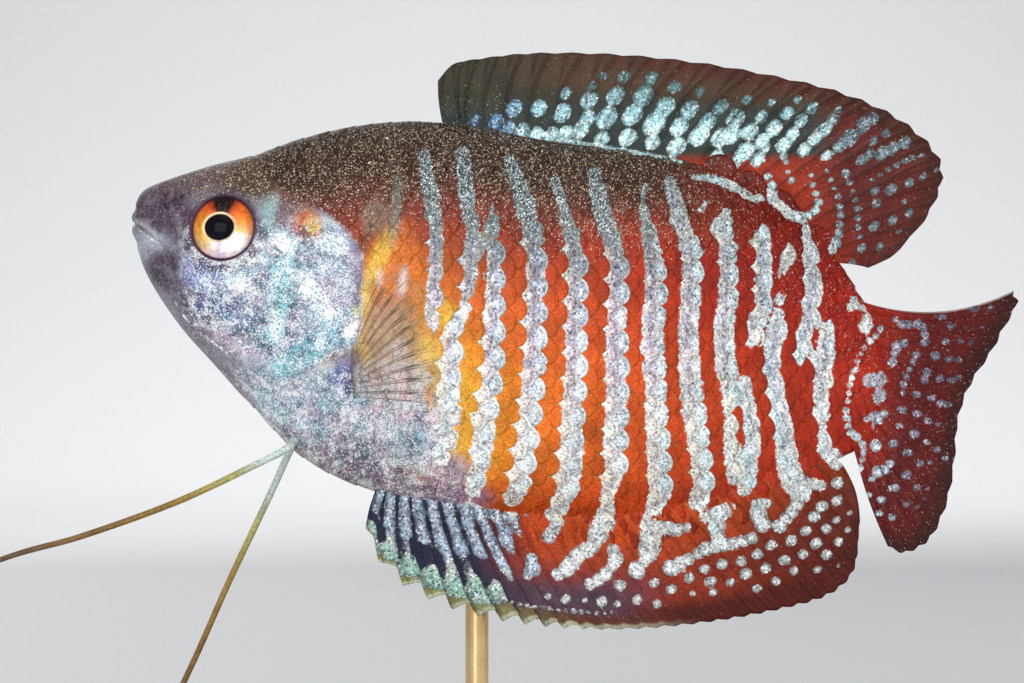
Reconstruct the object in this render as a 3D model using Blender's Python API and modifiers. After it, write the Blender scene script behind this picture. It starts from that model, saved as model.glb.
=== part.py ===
"""Dwarf gourami, an adult male, as a life-size model on a plain display stand.

Run with blender --background --python part.py, or from the Text Editor.
Metres, +Z up. The fish faces -X, its left side faces -Y, and it swims nose up.
The origin is at the middle of the stand's underside.
Sizes below are in millimetres and are turned into metres where they are used.
"""
import math

import bmesh
import bpy
from mathutils import Vector

MM = 0.001
GAP = 0.3

# Body: x, height of the back, height of the belly, half width, from snout to tail
BODY_STATIONS = [
    (-31.35, 55.6, 55.6, 0.0),
    (-31.2, 56.8, 54.7, 0.6),
    (-30.95, 57.8, 53.5, 1.15),
    (-30.3, 58.6, 51.6, 1.7),
    (-29.0, 59.2, 49.3, 2.3),
    (-27.0, 59.9, 46.5, 3.0),
    (-24.4, 60.7, 43.6, 3.7),
    (-21.2, 61.5, 40.0, 4.4),
    (-17.4, 62.9, 36.0, 5.0),
    (-12.8, 64.0, 33.4, 5.5),
    (-7.4, 64.5, 32.0, 5.6),
    (-1.6, 63.9, 31.2, 5.35),
    (4.4, 62.8, 30.6, 4.8),
    (10.4, 62.1, 30.6, 4.1),
    (16.0, 61.1, 31.5, 3.3),
    (20.8, 59.4, 32.8, 2.6),
    (24.8, 56.8, 34.1, 2.0),
    (27.8, 53.8, 35.2, 1.65),
    (30.0, 50.8, 36.1, 1.4),
    (31.8, 47.6, 37.6, 1.1),
    (33.0, 42.6, 42.6, 0.0),
]
BODY_RINGS = 54
BODY_SEGMENTS = 28
WAIST = 0.54
KEEL = 1.22

# Cuts that part the body, as points down the side view
HEAD_CUT = [(-17.4, 66.5), (-15.6, 61.1), (-13.0, 57.0), (-11.5, 53.6), (-11.3, 49.6),
            (-12.4, 46.3), (-15.2, 43.6), (-19.6, 41.6), (-22.4, 38.8), (-24.5, 35.0)]
TAIL_CUT = [(23.2, 63.0), (24.5, 55.0), (24.8, 46.6), (24.5, 38.9), (23.2, 29.0)]
TAIL_END_X = 29.5
TAIL_END_BULGE = 1.0
TAIL_END_MIDDLE = 43.0
TAIL_END_HALF = 8.0
CUT_STEPS = 5

# Gill covers: outline in the side view, rear edge first, then forward under the eye
GILL_OUTLINE = [(-16.8, 57.4), (-14.0, 56.6), (-12.3, 54.0), (-11.7, 51.4), (-12.1, 48.2),
                (-13.6, 45.4), (-16.4, 43.9), (-20.2, 43.1), (-21.0, 45.2), (-20.4, 49.2),
                (-19.8, 53.4), (-18.9, 56.2)]
GILL_PROUD = 0.4
GILL_DEPTH = 0.7
GILL_RECESS_REACH = 1.8
GILL_STEPS = 3

# Eyes, mouth and nostrils
EYE_X = -23.4
EYE_Z = 55.2
EYE_SUNK = 1.0
EYE_RADIUS = 2.85
EYE_HALF_DEPTH = 1.6
MOUTH_LINE = [(-33.0, 56.2), (-31.2, 55.6), (-30.0, 54.9), (-28.9, 53.9)]
MOUTH_OPEN = 0.3
LIP_RADIUS = 0.55
LIP_SUNK = 0.25
LIP_APART = 0.62
LIP_STEPS = 7
NOSTRILS = [(-28.3, 57.1, 0.32), (-26.9, 57.9, 0.26)]

# Dorsal fin: number of a ray, x of its root on the back, then its tip
DORSAL_RAYS = 25
DORSAL_SHAPE = [
    (0, -5.0, -5.3, 67.9), (0.7, -3.6, -4.2, 69.2), (2.4, -2.6, -1.8, 69.8), (4.8, 1.7, 3.0, 70.3),
    (7.2, 6.8, 9.7, 70.2), (9.6, 12.0, 16.7, 69.5), (12, 17.1, 23.5, 68.3), (14.4, 20.9, 29.5, 66.8),
    (16.8, 24.2, 34.6, 64.4), (19.2, 26.6, 37.8, 60.9), (21.6, 28.2, 36.9, 56.8), (24, 29.2, 31.9, 51.7),
]
# Anal fin: the same, with the front spines' tips standing out of the membrane
ANAL_RAYS = 31
ANAL_SHAPE = [
    (0, -10.8, -11.5, 29.6), (1, -9.9, -10.4, 26.8), (2, -8.8, -8.3, 24.7), (4, -6.4, -4.0, 22.7),
    (7, -2.4, 2.2, 21.4), (12, 4.4, 10.2, 21.0), (17, 11.0, 18.0, 21.6), (22, 17.5, 25.0, 22.9),
    (25, 21.6, 28.6, 24.2), (27, 24.6, 30.3, 26.2), (30, 29.0, 30.7, 30.4),
]
ANAL_NOTCH = 1.3
ANAL_NOTCHED_PART = 0.36
# Caudal fin: height of each ray's root on the end of the tail, then its tip
CAUDAL_RAYS = 16
CAUDAL_SHAPE = [
    (49.3, 43.9, 49.9), (48.4, 44.3, 48.9), (47.2, 43.2, 46.8), (46.1, 42.1, 44.7),
    (45.1, 40.7, 42.6), (44.1, 39.7, 40.6), (43.1, 39.1, 38.3), (42.1, 38.9, 35.9),
    (41.1, 38.5, 33.1), (40.2, 37.8, 30.7), (39.3, 36.8, 28.8), (38.4, 35.7, 27.9),
    (37.6, 34.4, 27.5), (36.8, 33.2, 28.1),
]
CAUDAL_BOWS = [(-0.11,), (0.0,), (0.0,), (0.03,)]
FIN_WAVE = 0.35

# Fin thicknesses: at the root, of the membrane, over a ray, and at the tips
FIN_ROOT_THICK = 1.3
FIN_MEMBRANE = 0.5
FIN_OVER_RAY = 0.85
FIN_TIP_MEMBRANE = 0.25
FIN_TIP_RAY = 0.4
FIN_ROOT_REACH = 0.35

# Pectoral fins: root on the flank, then tips as x, height and distance out from the root
PECTORAL_RAYS = 11
PECTORAL_ROOT_TOP = (-12.2, 44.6)
PECTORAL_ROOT_BOTTOM = (-12.0, 41.0)
PECTORAL_TIPS = [(-8.8, 52.4, 1.6), (-6.6, 50.6, 2.4), (-5.0, 47.6, 3.0), (-4.5, 43.8, 3.0),
                 (-5.0, 40.4, 2.4)]
PECTORAL_ROOT_THICK = 0.9

# Pelvic feelers: root on the belly, then the thread's points as x, distance out and height
FEELER_ROOT = (-17.5, 37.1)
FEELER_FOOT = 0.7
FEELER_LEFT = [(-20.2, 2.4, 35.4), (-27.2, 3.6, 32.1), (-35.0, 5.0, 29.3), (-41.9, 6.2, 27.3),
               (-53.4, 7.4, 22.3)]
FEELER_RIGHT = [(-19.8, 2.5, 32.5), (-23.5, 3.6, 24.8), (-27.1, 4.6, 16.9), (-31.4, 5.4, 8.6),
                (-37.0, 6.0, 2.6)]
FEELER_RADII = [(0.45,), (0.36,), (0.3,), (0.27,), (0.25,), (0.15,)]
FEELER_STEPS = 3

# Stand
BASE_LENGTH = 62.0
BASE_WIDTH = 38.0
BASE_HEIGHT = 4.0
BASE_CORNER = 6.0
BASE_CHAMFER = 0.8
ROD_RADIUS = 1.0
ROD_X = -2.0
ROD_Y = 2.3
ROD_TOP = 36.5
ROD_FOOT = 1.5
ROD_SIDES = 24


# Curves through points
def smooth(rows, t):
    """Catmull-Rom value at t, from 0 at the first row to 1 at the last."""
    spans = len(rows) - 1
    place = min(max(t, 0.0), 1.0) * spans
    k = min(int(place), spans - 1)
    f = place - k
    before = rows[max(k - 1, 0)]
    start = rows[k]
    end = rows[k + 1]
    after = rows[min(k + 2, spans)]
    return [
        0.5 * (2 * b + (c - a) * f + (2 * a - 5 * b + 4 * c - d) * f * f + (3 * b - a - 3 * c + d) * f ** 3)
        for a, b, c, d in zip(before, start, end, after)
    ]


def through(rows, key):
    """Values where a smooth curve through the rows, each led by its key, has this key."""
    k = 0
    while k < len(rows) - 2 and rows[k + 1][0] < key:
        k += 1
    before, start, end = rows[max(k - 1, 0)], rows[k], rows[k + 1]
    after = rows[min(k + 2, len(rows) - 1)]
    width = end[0] - start[0]
    f = (key - start[0]) / width
    values = []
    for a, b, c, d in zip(before[1:], start[1:], end[1:], after[1:]):
        leave = (c - a) / (end[0] - before[0]) * width
        arrive = (d - b) / (after[0] - start[0]) * width
        rise = f * f * (3 - 2 * f)
        values.append(b + (c - b) * rise + leave * f * (1 - f) ** 2 - arrive * f * f * (1 - f))
    return values


def smooth_points(rows, steps):
    """The curve through the rows, with this many points to each span."""
    count = (len(rows) - 1) * steps
    return [smooth(rows, i / count) for i in range(count + 1)]


def mix(a, b, t):
    return a + (b - a) * t


# Body form
def station_at(x):
    """Station values where the body's own curve passes x."""
    low, high = 0.0, 1.0
    for _ in range(40):
        middle = (low + high) / 2
        if smooth(BODY_STATIONS, middle)[0] < x:
            low = middle
        else:
            high = middle
    return smooth(BODY_STATIONS, (low + high) / 2)


def section(station, up, side, grow=0.0):
    """A point of the cross-section: up and side are the cosine and sine round it."""
    x, back, belly, half = station
    if half > 0.01:
        back += grow
        belly -= grow
        half = max(half + grow, 0.05)
    middle = mix(belly, back, WAIST)
    height = (back - middle) * up if up > 0 else (middle - belly) * up
    power = 1.0 if up > 0 else KEEL
    return x, math.copysign(half * abs(side) ** power, side), middle + height


def flank(x, z):
    """Half width of the body at x and height z."""
    station = station_at(x)
    _, back, belly, _ = station
    middle = mix(belly, back, WAIST)
    up = (z - middle) / (back - middle) if z > middle else (z - middle) / (middle - belly)
    up = max(-1.0, min(1.0, up))
    return section(station, up, math.sqrt(1 - up * up))[1]


def skin(x, z, side):
    """The point of the flank at x and height z, and the direction out of it."""
    step = 0.2
    point = Vector((x, flank(x, z), z))
    along = Vector((x + step, flank(x + step, z), z)) - point
    upward = Vector((x, flank(x, z + step), z + step)) - point
    out = upward.cross(along).normalized()
    return Vector((x, side * point.y, z)), Vector((out.x, side * out.y, out.z))


def tail_end(z):
    """x of the rounded end of the tail at height z."""
    return TAIL_END_X + TAIL_END_BULGE * (1 - ((z - TAIL_END_MIDDLE) / TAIL_END_HALF) ** 2)


# Objects, materials and Booleans
def clear_scene():
    for ob in list(bpy.data.objects):
        bpy.data.objects.remove(ob, do_unlink=True)


def new_collection(name):
    collection = bpy.data.collections.new(name)
    bpy.context.scene.collection.children.link(collection)
    return collection


def new_material(name, colour, roughness, metallic=0.0):
    material = bpy.data.materials.new(name)
    material.use_nodes = True
    shader = material.node_tree.nodes["Principled BSDF"]
    shader.inputs["Base Color"].default_value = (*colour, 1.0)
    shader.inputs["Roughness"].default_value = roughness
    shader.inputs["Metallic"].default_value = metallic
    return material


def object_from(bm, name, collection, material=None):
    mesh = bpy.data.meshes.new(name)
    bm.to_mesh(mesh)
    bm.free()
    ob = bpy.data.objects.new(name, mesh)
    collection.objects.link(ob)
    if material:
        mesh.materials.append(material)
    return ob


def hide_cutter(ob):
    ob.hide_render = True
    ob.display_type = "WIRE"
    return ob


def combine(ob, other, operation, solver="EXACT"):
    modifier = ob.modifiers.new(operation.title(), "BOOLEAN")
    modifier.operation = operation
    modifier.object = other
    modifier.solver = solver


def mesh_of(curve_object, collection):
    """The curve as a closed mesh object, so that a Boolean can use it."""
    bpy.context.view_layer.update()
    evaluated = curve_object.evaluated_get(bpy.context.evaluated_depsgraph_get())
    mesh = bpy.data.meshes.new_from_object(evaluated)
    bm = bmesh.new()
    bm.from_mesh(mesh)
    bmesh.ops.remove_doubles(bm, verts=bm.verts, dist=1e-6)
    bm.to_mesh(mesh)
    bm.free()
    name = curve_object.name
    matrix = curve_object.matrix_world.copy()
    bpy.data.objects.remove(curve_object)
    ob = bpy.data.objects.new(name, mesh)
    ob.name = name
    ob.matrix_world = matrix
    collection.objects.link(ob)
    return ob


def plate(name, outline, near, far):
    """A cutter: a flat outline in the side view, from y = near to y = far."""
    curve = bpy.data.curves.new(name, "CURVE")
    curve.dimensions = "2D"
    curve.fill_mode = "BOTH"
    curve.extrude = abs(far - near) / 2 * MM
    spline = curve.splines.new("POLY")
    spline.points.add(len(outline) - 1)
    for point, (x, z) in zip(spline.points, outline):
        point.co = (x * MM, z * MM, 0, 1)
    spline.use_cyclic_u = True
    ob = bpy.data.objects.new(name, curve)
    ob.location = (0, (near + far) / 2 * MM, 0)
    ob.rotation_euler = (math.pi / 2, 0, 0)
    cutters.objects.link(ob)
    return hide_cutter(mesh_of(ob, cutters))


def tube(name, points, radii, collection, sides=8):
    """A tapered tube along points, as a curve with a bevel and filled caps."""
    curve = bpy.data.curves.new(name, "CURVE")
    curve.dimensions = "3D"
    curve.bevel_depth = MM
    curve.bevel_resolution = sides // 4
    curve.use_fill_caps = True
    spline = curve.splines.new("POLY")
    spline.points.add(len(points) - 1)
    for point, place, radius in zip(spline.points, points, radii):
        point.co = (*(c * MM for c in place), 1)
        point.radius = radius
    ob = bpy.data.objects.new(name, curve)
    collection.objects.link(ob)
    return ob


def ball(name, centre, radii, collection, out, segments=24, rings=12):
    """A sphere flattened along its own Y axis, which is turned to face out."""
    bm = bmesh.new()
    bmesh.ops.create_uvsphere(bm, u_segments=segments, v_segments=rings, radius=1)
    turn = Vector((0, math.copysign(1, out.y), 0)).rotation_difference(out)
    for v in bm.verts:
        v.co = (centre + turn @ Vector([r * p for r, p in zip(radii, v.co)])) * MM
    return object_from(bm, name, collection)


def cylinder(name, centre, radius, bottom, top, collection):
    bm = bmesh.new()
    bmesh.ops.create_cone(
        bm, cap_ends=True, segments=ROD_SIDES, radius1=radius * MM, radius2=radius * MM, depth=(top - bottom) * MM
    )
    bmesh.ops.translate(bm, verts=bm.verts, vec=Vector((centre[0], centre[1], (top + bottom) / 2)) * MM)
    return object_from(bm, name, collection)


# Body parts
def body_blank(name, collection, grow=0.0):
    """The whole body, from a sphere whose poles are the snout and the tail's end."""
    bm = bmesh.new()
    bmesh.ops.create_uvsphere(bm, u_segments=BODY_SEGMENTS, v_segments=BODY_RINGS, radius=1)
    for v in bm.verts:
        along = math.acos(max(-1.0, min(1.0, v.co.z))) / math.pi
        ring = math.hypot(v.co.x, v.co.y) or 1.0
        point = section(smooth(BODY_STATIONS, along), v.co.x / ring, v.co.y / ring, grow)
        v.co = Vector(point) * MM
    return object_from(bm, name, collection)


def cut_line(rows, shift):
    """A cut's points, moved along x by shift."""
    return [(x + shift, z) for x, z in smooth_points(rows, CUT_STEPS)]


def region(name, front, rear):
    """A cutter that holds the body between two cut lines, each listed from top to bottom."""
    return plate(name, front + rear[::-1], -20, 20)


def make_body():
    """Head, trunk and tail stem, parted by thin cuts."""
    half_gap = GAP / 2
    front_end = [(-45, 80), (-45, 20)]
    tail_top, tail_bottom = TAIL_END_MIDDLE + 22, TAIL_END_MIDDLE - 22
    heights = [mix(tail_top, tail_bottom, i / 22) for i in range(23)]
    rear_end = [(tail_end(z), z) for z in heights if abs(z - TAIL_END_MIDDLE) < 14]
    spans = {
        "head": (front_end, cut_line(HEAD_CUT, -half_gap)),
        "trunk": (cut_line(HEAD_CUT, half_gap), cut_line(TAIL_CUT, -half_gap)),
        "tail_stem": (cut_line(TAIL_CUT, half_gap), rear_end),
    }
    parts = {}
    for name, (front, rear) in spans.items():
        parts[name] = body_blank(name, model)
        parts[name].data.materials.append(materials[name])
        combine(parts[name], region(name + "_span", front, rear), "INTERSECT")
    return parts


def make_gill_cover(side, head):
    """A bony flap that stands a little proud of the head, in a recess of its own."""
    name = "gill_cover_left" if side < 0 else "gill_cover_right"
    outline = smooth_points(GILL_OUTLINE + GILL_OUTLINE[:1], GILL_STEPS)[:-1]
    centre = [sum(c) / len(outline) for c in zip(*outline)]
    cover = body_blank(name, model, GILL_PROUD)
    cover.data.materials.append(materials["gill_cover"])
    combine(cover, plate(name + "_outline", outline, side * 0.5, side * 12), "INTERSECT")
    core = hide_cutter(body_blank(name + "_core", cutters, -GILL_DEPTH))
    combine(cover, core, "DIFFERENCE")
    wide = []
    for x, z in outline:
        away = Vector((x - centre[0], z - centre[1]))
        rearward = min(max((x - centre[0]) / (GILL_OUTLINE[3][0] - centre[0]), 0.0), 1.0)
        away += away.normalized() * mix(GAP * 1.15, GILL_RECESS_REACH, rearward ** 2)
        wide.append((centre[0] + away.x, centre[1] + away.y))
    recess = plate(name + "_recess", wide, side * 0.5, side * 12)
    floor = hide_cutter(body_blank(name + "_floor", cutters, -GILL_DEPTH - GAP))
    combine(recess, floor, "DIFFERENCE")
    combine(head, recess, "DIFFERENCE")
    return cover


def make_eye(side, head):
    """A flattened eyeball, turned to the way the cheek faces, in a socket."""
    name = "eye_left" if side < 0 else "eye_right"
    point, out = skin(EYE_X, EYE_Z, side)
    centre = point - out * EYE_SUNK
    eye = ball(name, centre, (EYE_RADIUS, EYE_HALF_DEPTH, EYE_RADIUS), model, out)
    eye.data.materials.append(materials["eye"])
    eye.data.shade_smooth()
    socket = (EYE_RADIUS + GAP, EYE_HALF_DEPTH + GAP, EYE_RADIUS + GAP)
    combine(head, hide_cutter(ball(name + "_socket", centre, socket, cutters, out)), "DIFFERENCE")
    return eye


def make_lips(head):
    """Two fleshy lips round the snout, with the mouth's line cut between them."""
    for name, shift in (("upper_lip", LIP_APART), ("lower_lip", -LIP_APART)):
        path = []
        radii = []
        for i in range(-LIP_STEPS, LIP_STEPS + 1):
            back = abs(i) / LIP_STEPS
            x, z = smooth(MOUTH_LINE[1:], back)
            z += shift * (1 - 0.3 * back)
            point = Vector((x, math.copysign(flank(x, z), i) if i else 0.0, z))
            out = (point - Vector((MOUTH_LINE[-1][0], 0, z))).normalized()
            path.append(point - out * LIP_SUNK)
            radii.append(mix(LIP_RADIUS, LIP_SUNK, back ** 2))
        lip = mesh_of(tube(name, path, radii, cutters), cutters)
        combine(head, hide_cutter(lip), "UNION")
    line = smooth_points(MOUTH_LINE, 3)
    upper = [(x, z + MOUTH_OPEN / 2) for x, z in line]
    lower = [(x, z - MOUTH_OPEN / 2) for x, z in line]
    combine(head, plate("mouth_line", upper + lower[::-1], -6, 6), "DIFFERENCE")


def make_nostrils(head):
    for side in (-1, 1):
        for i, (x, z, radius) in enumerate(NOSTRILS):
            point, out = skin(x, z, side)
            pit = ball(f"nostril_{side}_{i}", point, (radius, radius * 1.6, radius), cutters, out, 10, 6)
            combine(head, hide_cutter(pit), "DIFFERENCE")


# Fins
def ray_sheet(name, rays, rows, place, thickness, material):
    """A fin from a grid: every other column is a ray, raised in the membrane's own surface.

    place(s, t, crest) gives a point and thickness(s, t, crest) the fin's thickness there,
    with s from the first ray to the last and t from the root to the tip.
    """
    columns = 2 * (rays - 1)
    bm = bmesh.new()
    bmesh.ops.create_grid(bm, x_segments=columns, y_segments=rows, size=1)
    weights = {}
    for v in bm.verts:
        column = round((v.co.x + 1) / 2 * columns)
        s, t = column / columns, (v.co.y + 1) / 2
        crest = column % 2 == 0
        v.co = Vector(place(s, t, crest)) * MM
        weights[v.index] = thickness(s, t, crest)
    bmesh.ops.triangulate(bm, faces=bm.faces, quad_method="FIXED")
    fin = object_from(bm, name, model, material)
    thickest = max(weights.values())
    group = fin.vertex_groups.new(name="thickness")
    for index, value in weights.items():
        group.add([index], value / thickest, "REPLACE")
    solid = fin.modifiers.new("Solidify", "SOLIDIFY")
    solid.thickness = thickest * MM
    solid.offset = 0
    solid.vertex_group = "thickness"
    return fin


def fin_thickness(root):
    """Thickness over a fin: fleshy at the root, ridged by its rays, thin at the tips."""
    def at(s, t, crest):
        away = FIN_OVER_RAY if crest else FIN_MEMBRANE
        tip = FIN_TIP_RAY if crest else FIN_TIP_MEMBRANE
        value = mix(away, tip, t ** 1.5)
        if t < FIN_ROOT_REACH:
            value = mix(root, value, math.sin(t / FIN_ROOT_REACH * math.pi / 2))
        return value
    return at


def bent(root, tip, t, bow):
    """A point on a ray from root to tip that bows to its rear."""
    x = mix(root[0], tip[0], t)
    z = mix(root[1], tip[1], t)
    along_x, along_z = tip[0] - root[0], tip[1] - root[1]
    lift = bow * 4 * t * (1 - t)
    return x - along_z * lift, z + along_x * lift


def make_dorsal_fin():
    def place(s, t, crest):
        root_x, tip_x, tip_z = through(DORSAL_SHAPE, s * (DORSAL_RAYS - 1))
        root = (root_x, station_at(root_x)[1] + GAP)
        x, z = bent(root, (tip_x, tip_z), t, 0.03)
        return x, FIN_WAVE * math.sin(s * 9) * t, z
    return ray_sheet("dorsal_fin", DORSAL_RAYS, 6, place, fin_thickness(FIN_ROOT_THICK), materials["dorsal_fin"])


def make_anal_fin():
    def place(s, t, crest):
        root_x, tip_x, tip_z = through(ANAL_SHAPE, s * (ANAL_RAYS - 1))
        if not crest:
            tip_z += ANAL_NOTCH * max(0.0, 1 - s / ANAL_NOTCHED_PART)
        root = (root_x, station_at(root_x)[2] - GAP)
        x, z = bent(root, (tip_x, tip_z), t, -0.03)
        return x, FIN_WAVE * math.sin(s * 10 + 1) * t, z
    return ray_sheet("anal_fin", ANAL_RAYS, 5, place, fin_thickness(FIN_ROOT_THICK), materials["anal_fin"])


def make_caudal_fin():
    def place(s, t, crest):
        root_z, tip_x, tip_z = smooth(CAUDAL_SHAPE, s)
        bow = smooth(CAUDAL_BOWS, s)[0]
        x, z = bent((tail_end(root_z) + GAP, root_z), (tip_x, tip_z), t, bow)
        return x, FIN_WAVE * math.sin(s * 7) * t, z
    return ray_sheet("caudal_fin", CAUDAL_RAYS, 7, place, fin_thickness(2.0), materials["caudal_fin"])


def make_pectoral_fin(side):
    name = "pectoral_fin_left" if side < 0 else "pectoral_fin_right"

    def place(s, t, crest):
        root_x, root_z = (mix(a, b, s) for a, b in zip(PECTORAL_ROOT_TOP, PECTORAL_ROOT_BOTTOM))
        tip_x, tip_z, out = smooth(PECTORAL_TIPS, s)
        x, z = bent((root_x, root_z), (tip_x, tip_z), t, 0.06 * (1 - s))
        clear = PECTORAL_ROOT_THICK / 2 + GAP + 0.25
        y = flank(root_x, root_z) + clear + out * t ** 0.8
        return x, side * max(y, flank(x, z) + clear), z

    return ray_sheet(name, PECTORAL_RAYS, 5, place, fin_thickness(PECTORAL_ROOT_THICK), materials["pectoral_fin"])


def make_feeler(name, points, side):
    """A pelvic fin drawn out to a thread, which leaves the belly square to its skin."""
    root, out = skin(*FEELER_ROOT, side)
    start = root + out * GAP
    foot = start + out * FEELER_FOOT
    thread = [(x, side * y, z) for x, y, z in points]
    path = [start] + smooth_points([foot] + thread, FEELER_STEPS)
    radii = [smooth(FEELER_RADII, i / (len(path) - 1))[0] for i in range(len(path))]
    feeler = tube(name, path, radii, model)
    feeler.data.materials.append(materials["pelvic_feeler"])
    return feeler


# Stand
def make_stand(trunk):
    rod = cylinder("stand_rod", (ROD_X, ROD_Y), ROD_RADIUS, ROD_FOOT, ROD_TOP, model)
    rod.data.materials.append(materials["stand_rod"])
    bm = bmesh.new()
    bmesh.ops.create_cube(bm, size=1)
    bmesh.ops.scale(bm, vec=Vector((BASE_LENGTH, BASE_WIDTH, BASE_HEIGHT)) * MM, verts=bm.verts)
    bmesh.ops.translate(bm, vec=Vector((0, 0, BASE_HEIGHT / 2)) * MM, verts=bm.verts)
    upright = [e for e in bm.edges if abs(e.verts[0].co.z - e.verts[1].co.z) > MM]
    bmesh.ops.bevel(bm, geom=upright, offset=BASE_CORNER * MM, segments=6, profile=0.5, affect="EDGES")
    rim = [e for e in bm.edges if min(v.co.z for v in e.verts) > (BASE_HEIGHT - 0.01) * MM]
    bmesh.ops.bevel(bm, geom=rim, offset=BASE_CHAMFER * MM, segments=2, profile=0.5, affect="EDGES")
    base = object_from(bm, "stand_base", model, materials["stand_base"])
    hole = (ROD_FOOT - GAP, ROD_TOP + GAP)
    bore = hide_cutter(cylinder("rod_bore", (ROD_X, ROD_Y), ROD_RADIUS + GAP, *hole, cutters))
    combine(base, bore, "DIFFERENCE")
    combine(trunk, bore, "DIFFERENCE")


def make_materials():
    return {
        "head": new_material("silver_purple_head", (0.36, 0.33, 0.38), 0.3),
        "gill_cover": new_material("turquoise_gill_cover", (0.42, 0.58, 0.6), 0.28),
        "trunk": new_material("red_striped_flank", (0.62, 0.16, 0.05), 0.32),
        "tail_stem": new_material("red_tail_stem", (0.55, 0.08, 0.04), 0.32),
        "dorsal_fin": new_material("spotted_dorsal", (0.3, 0.2, 0.2), 0.4),
        "anal_fin": new_material("spotted_anal", (0.4, 0.08, 0.07), 0.4),
        "caudal_fin": new_material("deep_red_caudal", (0.45, 0.04, 0.03), 0.4),
        "pectoral_fin": new_material("amber_pectoral", (0.6, 0.42, 0.2), 0.4),
        "pelvic_feeler": new_material("olive_feeler", (0.5, 0.4, 0.2), 0.45),
        "eye": new_material("orange_eye", (0.85, 0.3, 0.08), 0.12),
        "stand_base": new_material("dark_walnut", (0.09, 0.05, 0.03), 0.4),
        "stand_rod": new_material("brass_rod", (0.72, 0.54, 0.28), 0.25, 1.0),
    }


clear_scene()
model = new_collection("dwarf_gourami")
cutters = new_collection("cutters")
materials = make_materials()
body = make_body()
make_lips(body["head"])
for side in (-1, 1):
    make_gill_cover(side, body["head"])
    make_eye(side, body["head"])
    make_pectoral_fin(side)
make_nostrils(body["head"])
make_dorsal_fin()
make_anal_fin()
make_caudal_fin()
make_feeler("pelvic_feeler_left", FEELER_LEFT, -1)
make_feeler("pelvic_feeler_right", FEELER_RIGHT, 1)
make_stand(body["trunk"])
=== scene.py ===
# %% [markdown]
# # A dwarf gourami in Blender
# This lesson dresses a life-size model of an adult male dwarf gourami. The solids come packed from
# the CAD step. Here the fish gets its skin, scales, fins, eyes and colours, and the stand its walnut
# and brass. Lengths below are in millimetres and are turned into metres where they are used.

# %% Load the frame
import math
import bpy
import numpy as np
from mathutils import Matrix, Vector


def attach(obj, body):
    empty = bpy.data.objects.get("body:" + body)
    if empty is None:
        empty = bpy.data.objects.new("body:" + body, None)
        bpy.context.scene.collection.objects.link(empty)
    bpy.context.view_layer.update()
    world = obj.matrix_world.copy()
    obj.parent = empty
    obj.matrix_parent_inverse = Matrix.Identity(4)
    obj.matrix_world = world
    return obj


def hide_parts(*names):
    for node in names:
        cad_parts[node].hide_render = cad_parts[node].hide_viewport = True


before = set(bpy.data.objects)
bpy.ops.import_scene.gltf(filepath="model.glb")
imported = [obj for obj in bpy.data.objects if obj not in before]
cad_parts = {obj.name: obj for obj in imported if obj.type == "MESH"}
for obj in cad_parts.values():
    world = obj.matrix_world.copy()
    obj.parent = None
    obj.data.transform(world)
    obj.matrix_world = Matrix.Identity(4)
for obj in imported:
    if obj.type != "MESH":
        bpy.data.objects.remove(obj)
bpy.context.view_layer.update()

MM = 0.001
print("nodes in the frame:", len(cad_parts))

# %% [markdown]
# ## Camera
# The fish is seen square to its left side, from about 25 cm away. A long lens at that distance keeps
# its outline nearly free of perspective. The frame is 87.5 mm wide where the middle of the body is.

# %% Camera
CAMERA = (1.03, -245.0, 45.6)
VIEW_WIDTH = 87.52
SENSOR_WIDTH = 36

eye_point = bpy.data.cameras.new("side_view")
eye_point.sensor_width = SENSOR_WIDTH
eye_point.lens = SENSOR_WIDTH * -CAMERA[1] / VIEW_WIDTH
camera = bpy.data.objects.new("side_view", eye_point)
camera.location = [c * MM for c in CAMERA]
camera.rotation_euler = (math.pi / 2, 0, 0)
eye_point.clip_start, eye_point.clip_end = 0.01, 20
bpy.context.scene.collection.objects.link(camera)
bpy.context.scene.camera = camera
print("lens of", round(eye_point.lens, 1), "mm")

# %% [markdown]
# ## Studio
# A plain sheet that curves up behind the model gives an even, pale ground with no horizon. It starts
# as a plane whose rear edge is extruded up, and a bevel rounds the corner. Four large soft lamps
# and a pale sky stand in for a photographer's light tent, and a fifth lamp brightens the paper.

# %% Sweep and lamps
def put_down():
    """Leaves nothing selected, because an operator acts on all that is."""
    if bpy.context.object and bpy.context.object.mode != "OBJECT":
        bpy.ops.object.mode_set(mode="OBJECT")
    bpy.ops.object.select_all(action="DESELECT")


def pick_edges(piece, wanted):
    """Selects the edges of a piece in edit mode whose middle passes a test."""
    bpy.ops.object.mode_set(mode="EDIT")
    bpy.ops.mesh.select_mode(type="EDGE")
    bpy.ops.mesh.select_all(action="DESELECT")
    bpy.ops.object.mode_set(mode="OBJECT")
    corners = piece.data.vertices
    for edge in piece.data.edges:
        ends = [corners[i].co for i in edge.vertices]
        edge.select = bool(wanted((ends[0] + ends[1]) / 2))
    bpy.ops.object.mode_set(mode="EDIT")


FLOOR_SIZE = 3.0
WALL_HIGH = 2.0
CORNER = 0.9
PAPER_COLOUR = (0.9, 0.9, 0.89, 1)
SKY_COLOUR = (0.9, 0.93, 1.0, 1)
LAMPS = [
    # name, place, the point it faces, size of its square, watts
    ("front_tent", (-110, -430, 150), (0, 0, 45), 380, 1.45),
    ("top_tent", (60, -60, 420), (0, 0, 45), 380, 0.35),
    ("side_tent", (380, -220, 120), (0, 0, 45), 300, 0.3),
    ("back_tent", (-220, 330, 260), (0, 0, 45), 320, 0.4),
    ("paper_lamp", (0, 500, 520), (0, 1300, 250), 500, 3.2),
]

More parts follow.
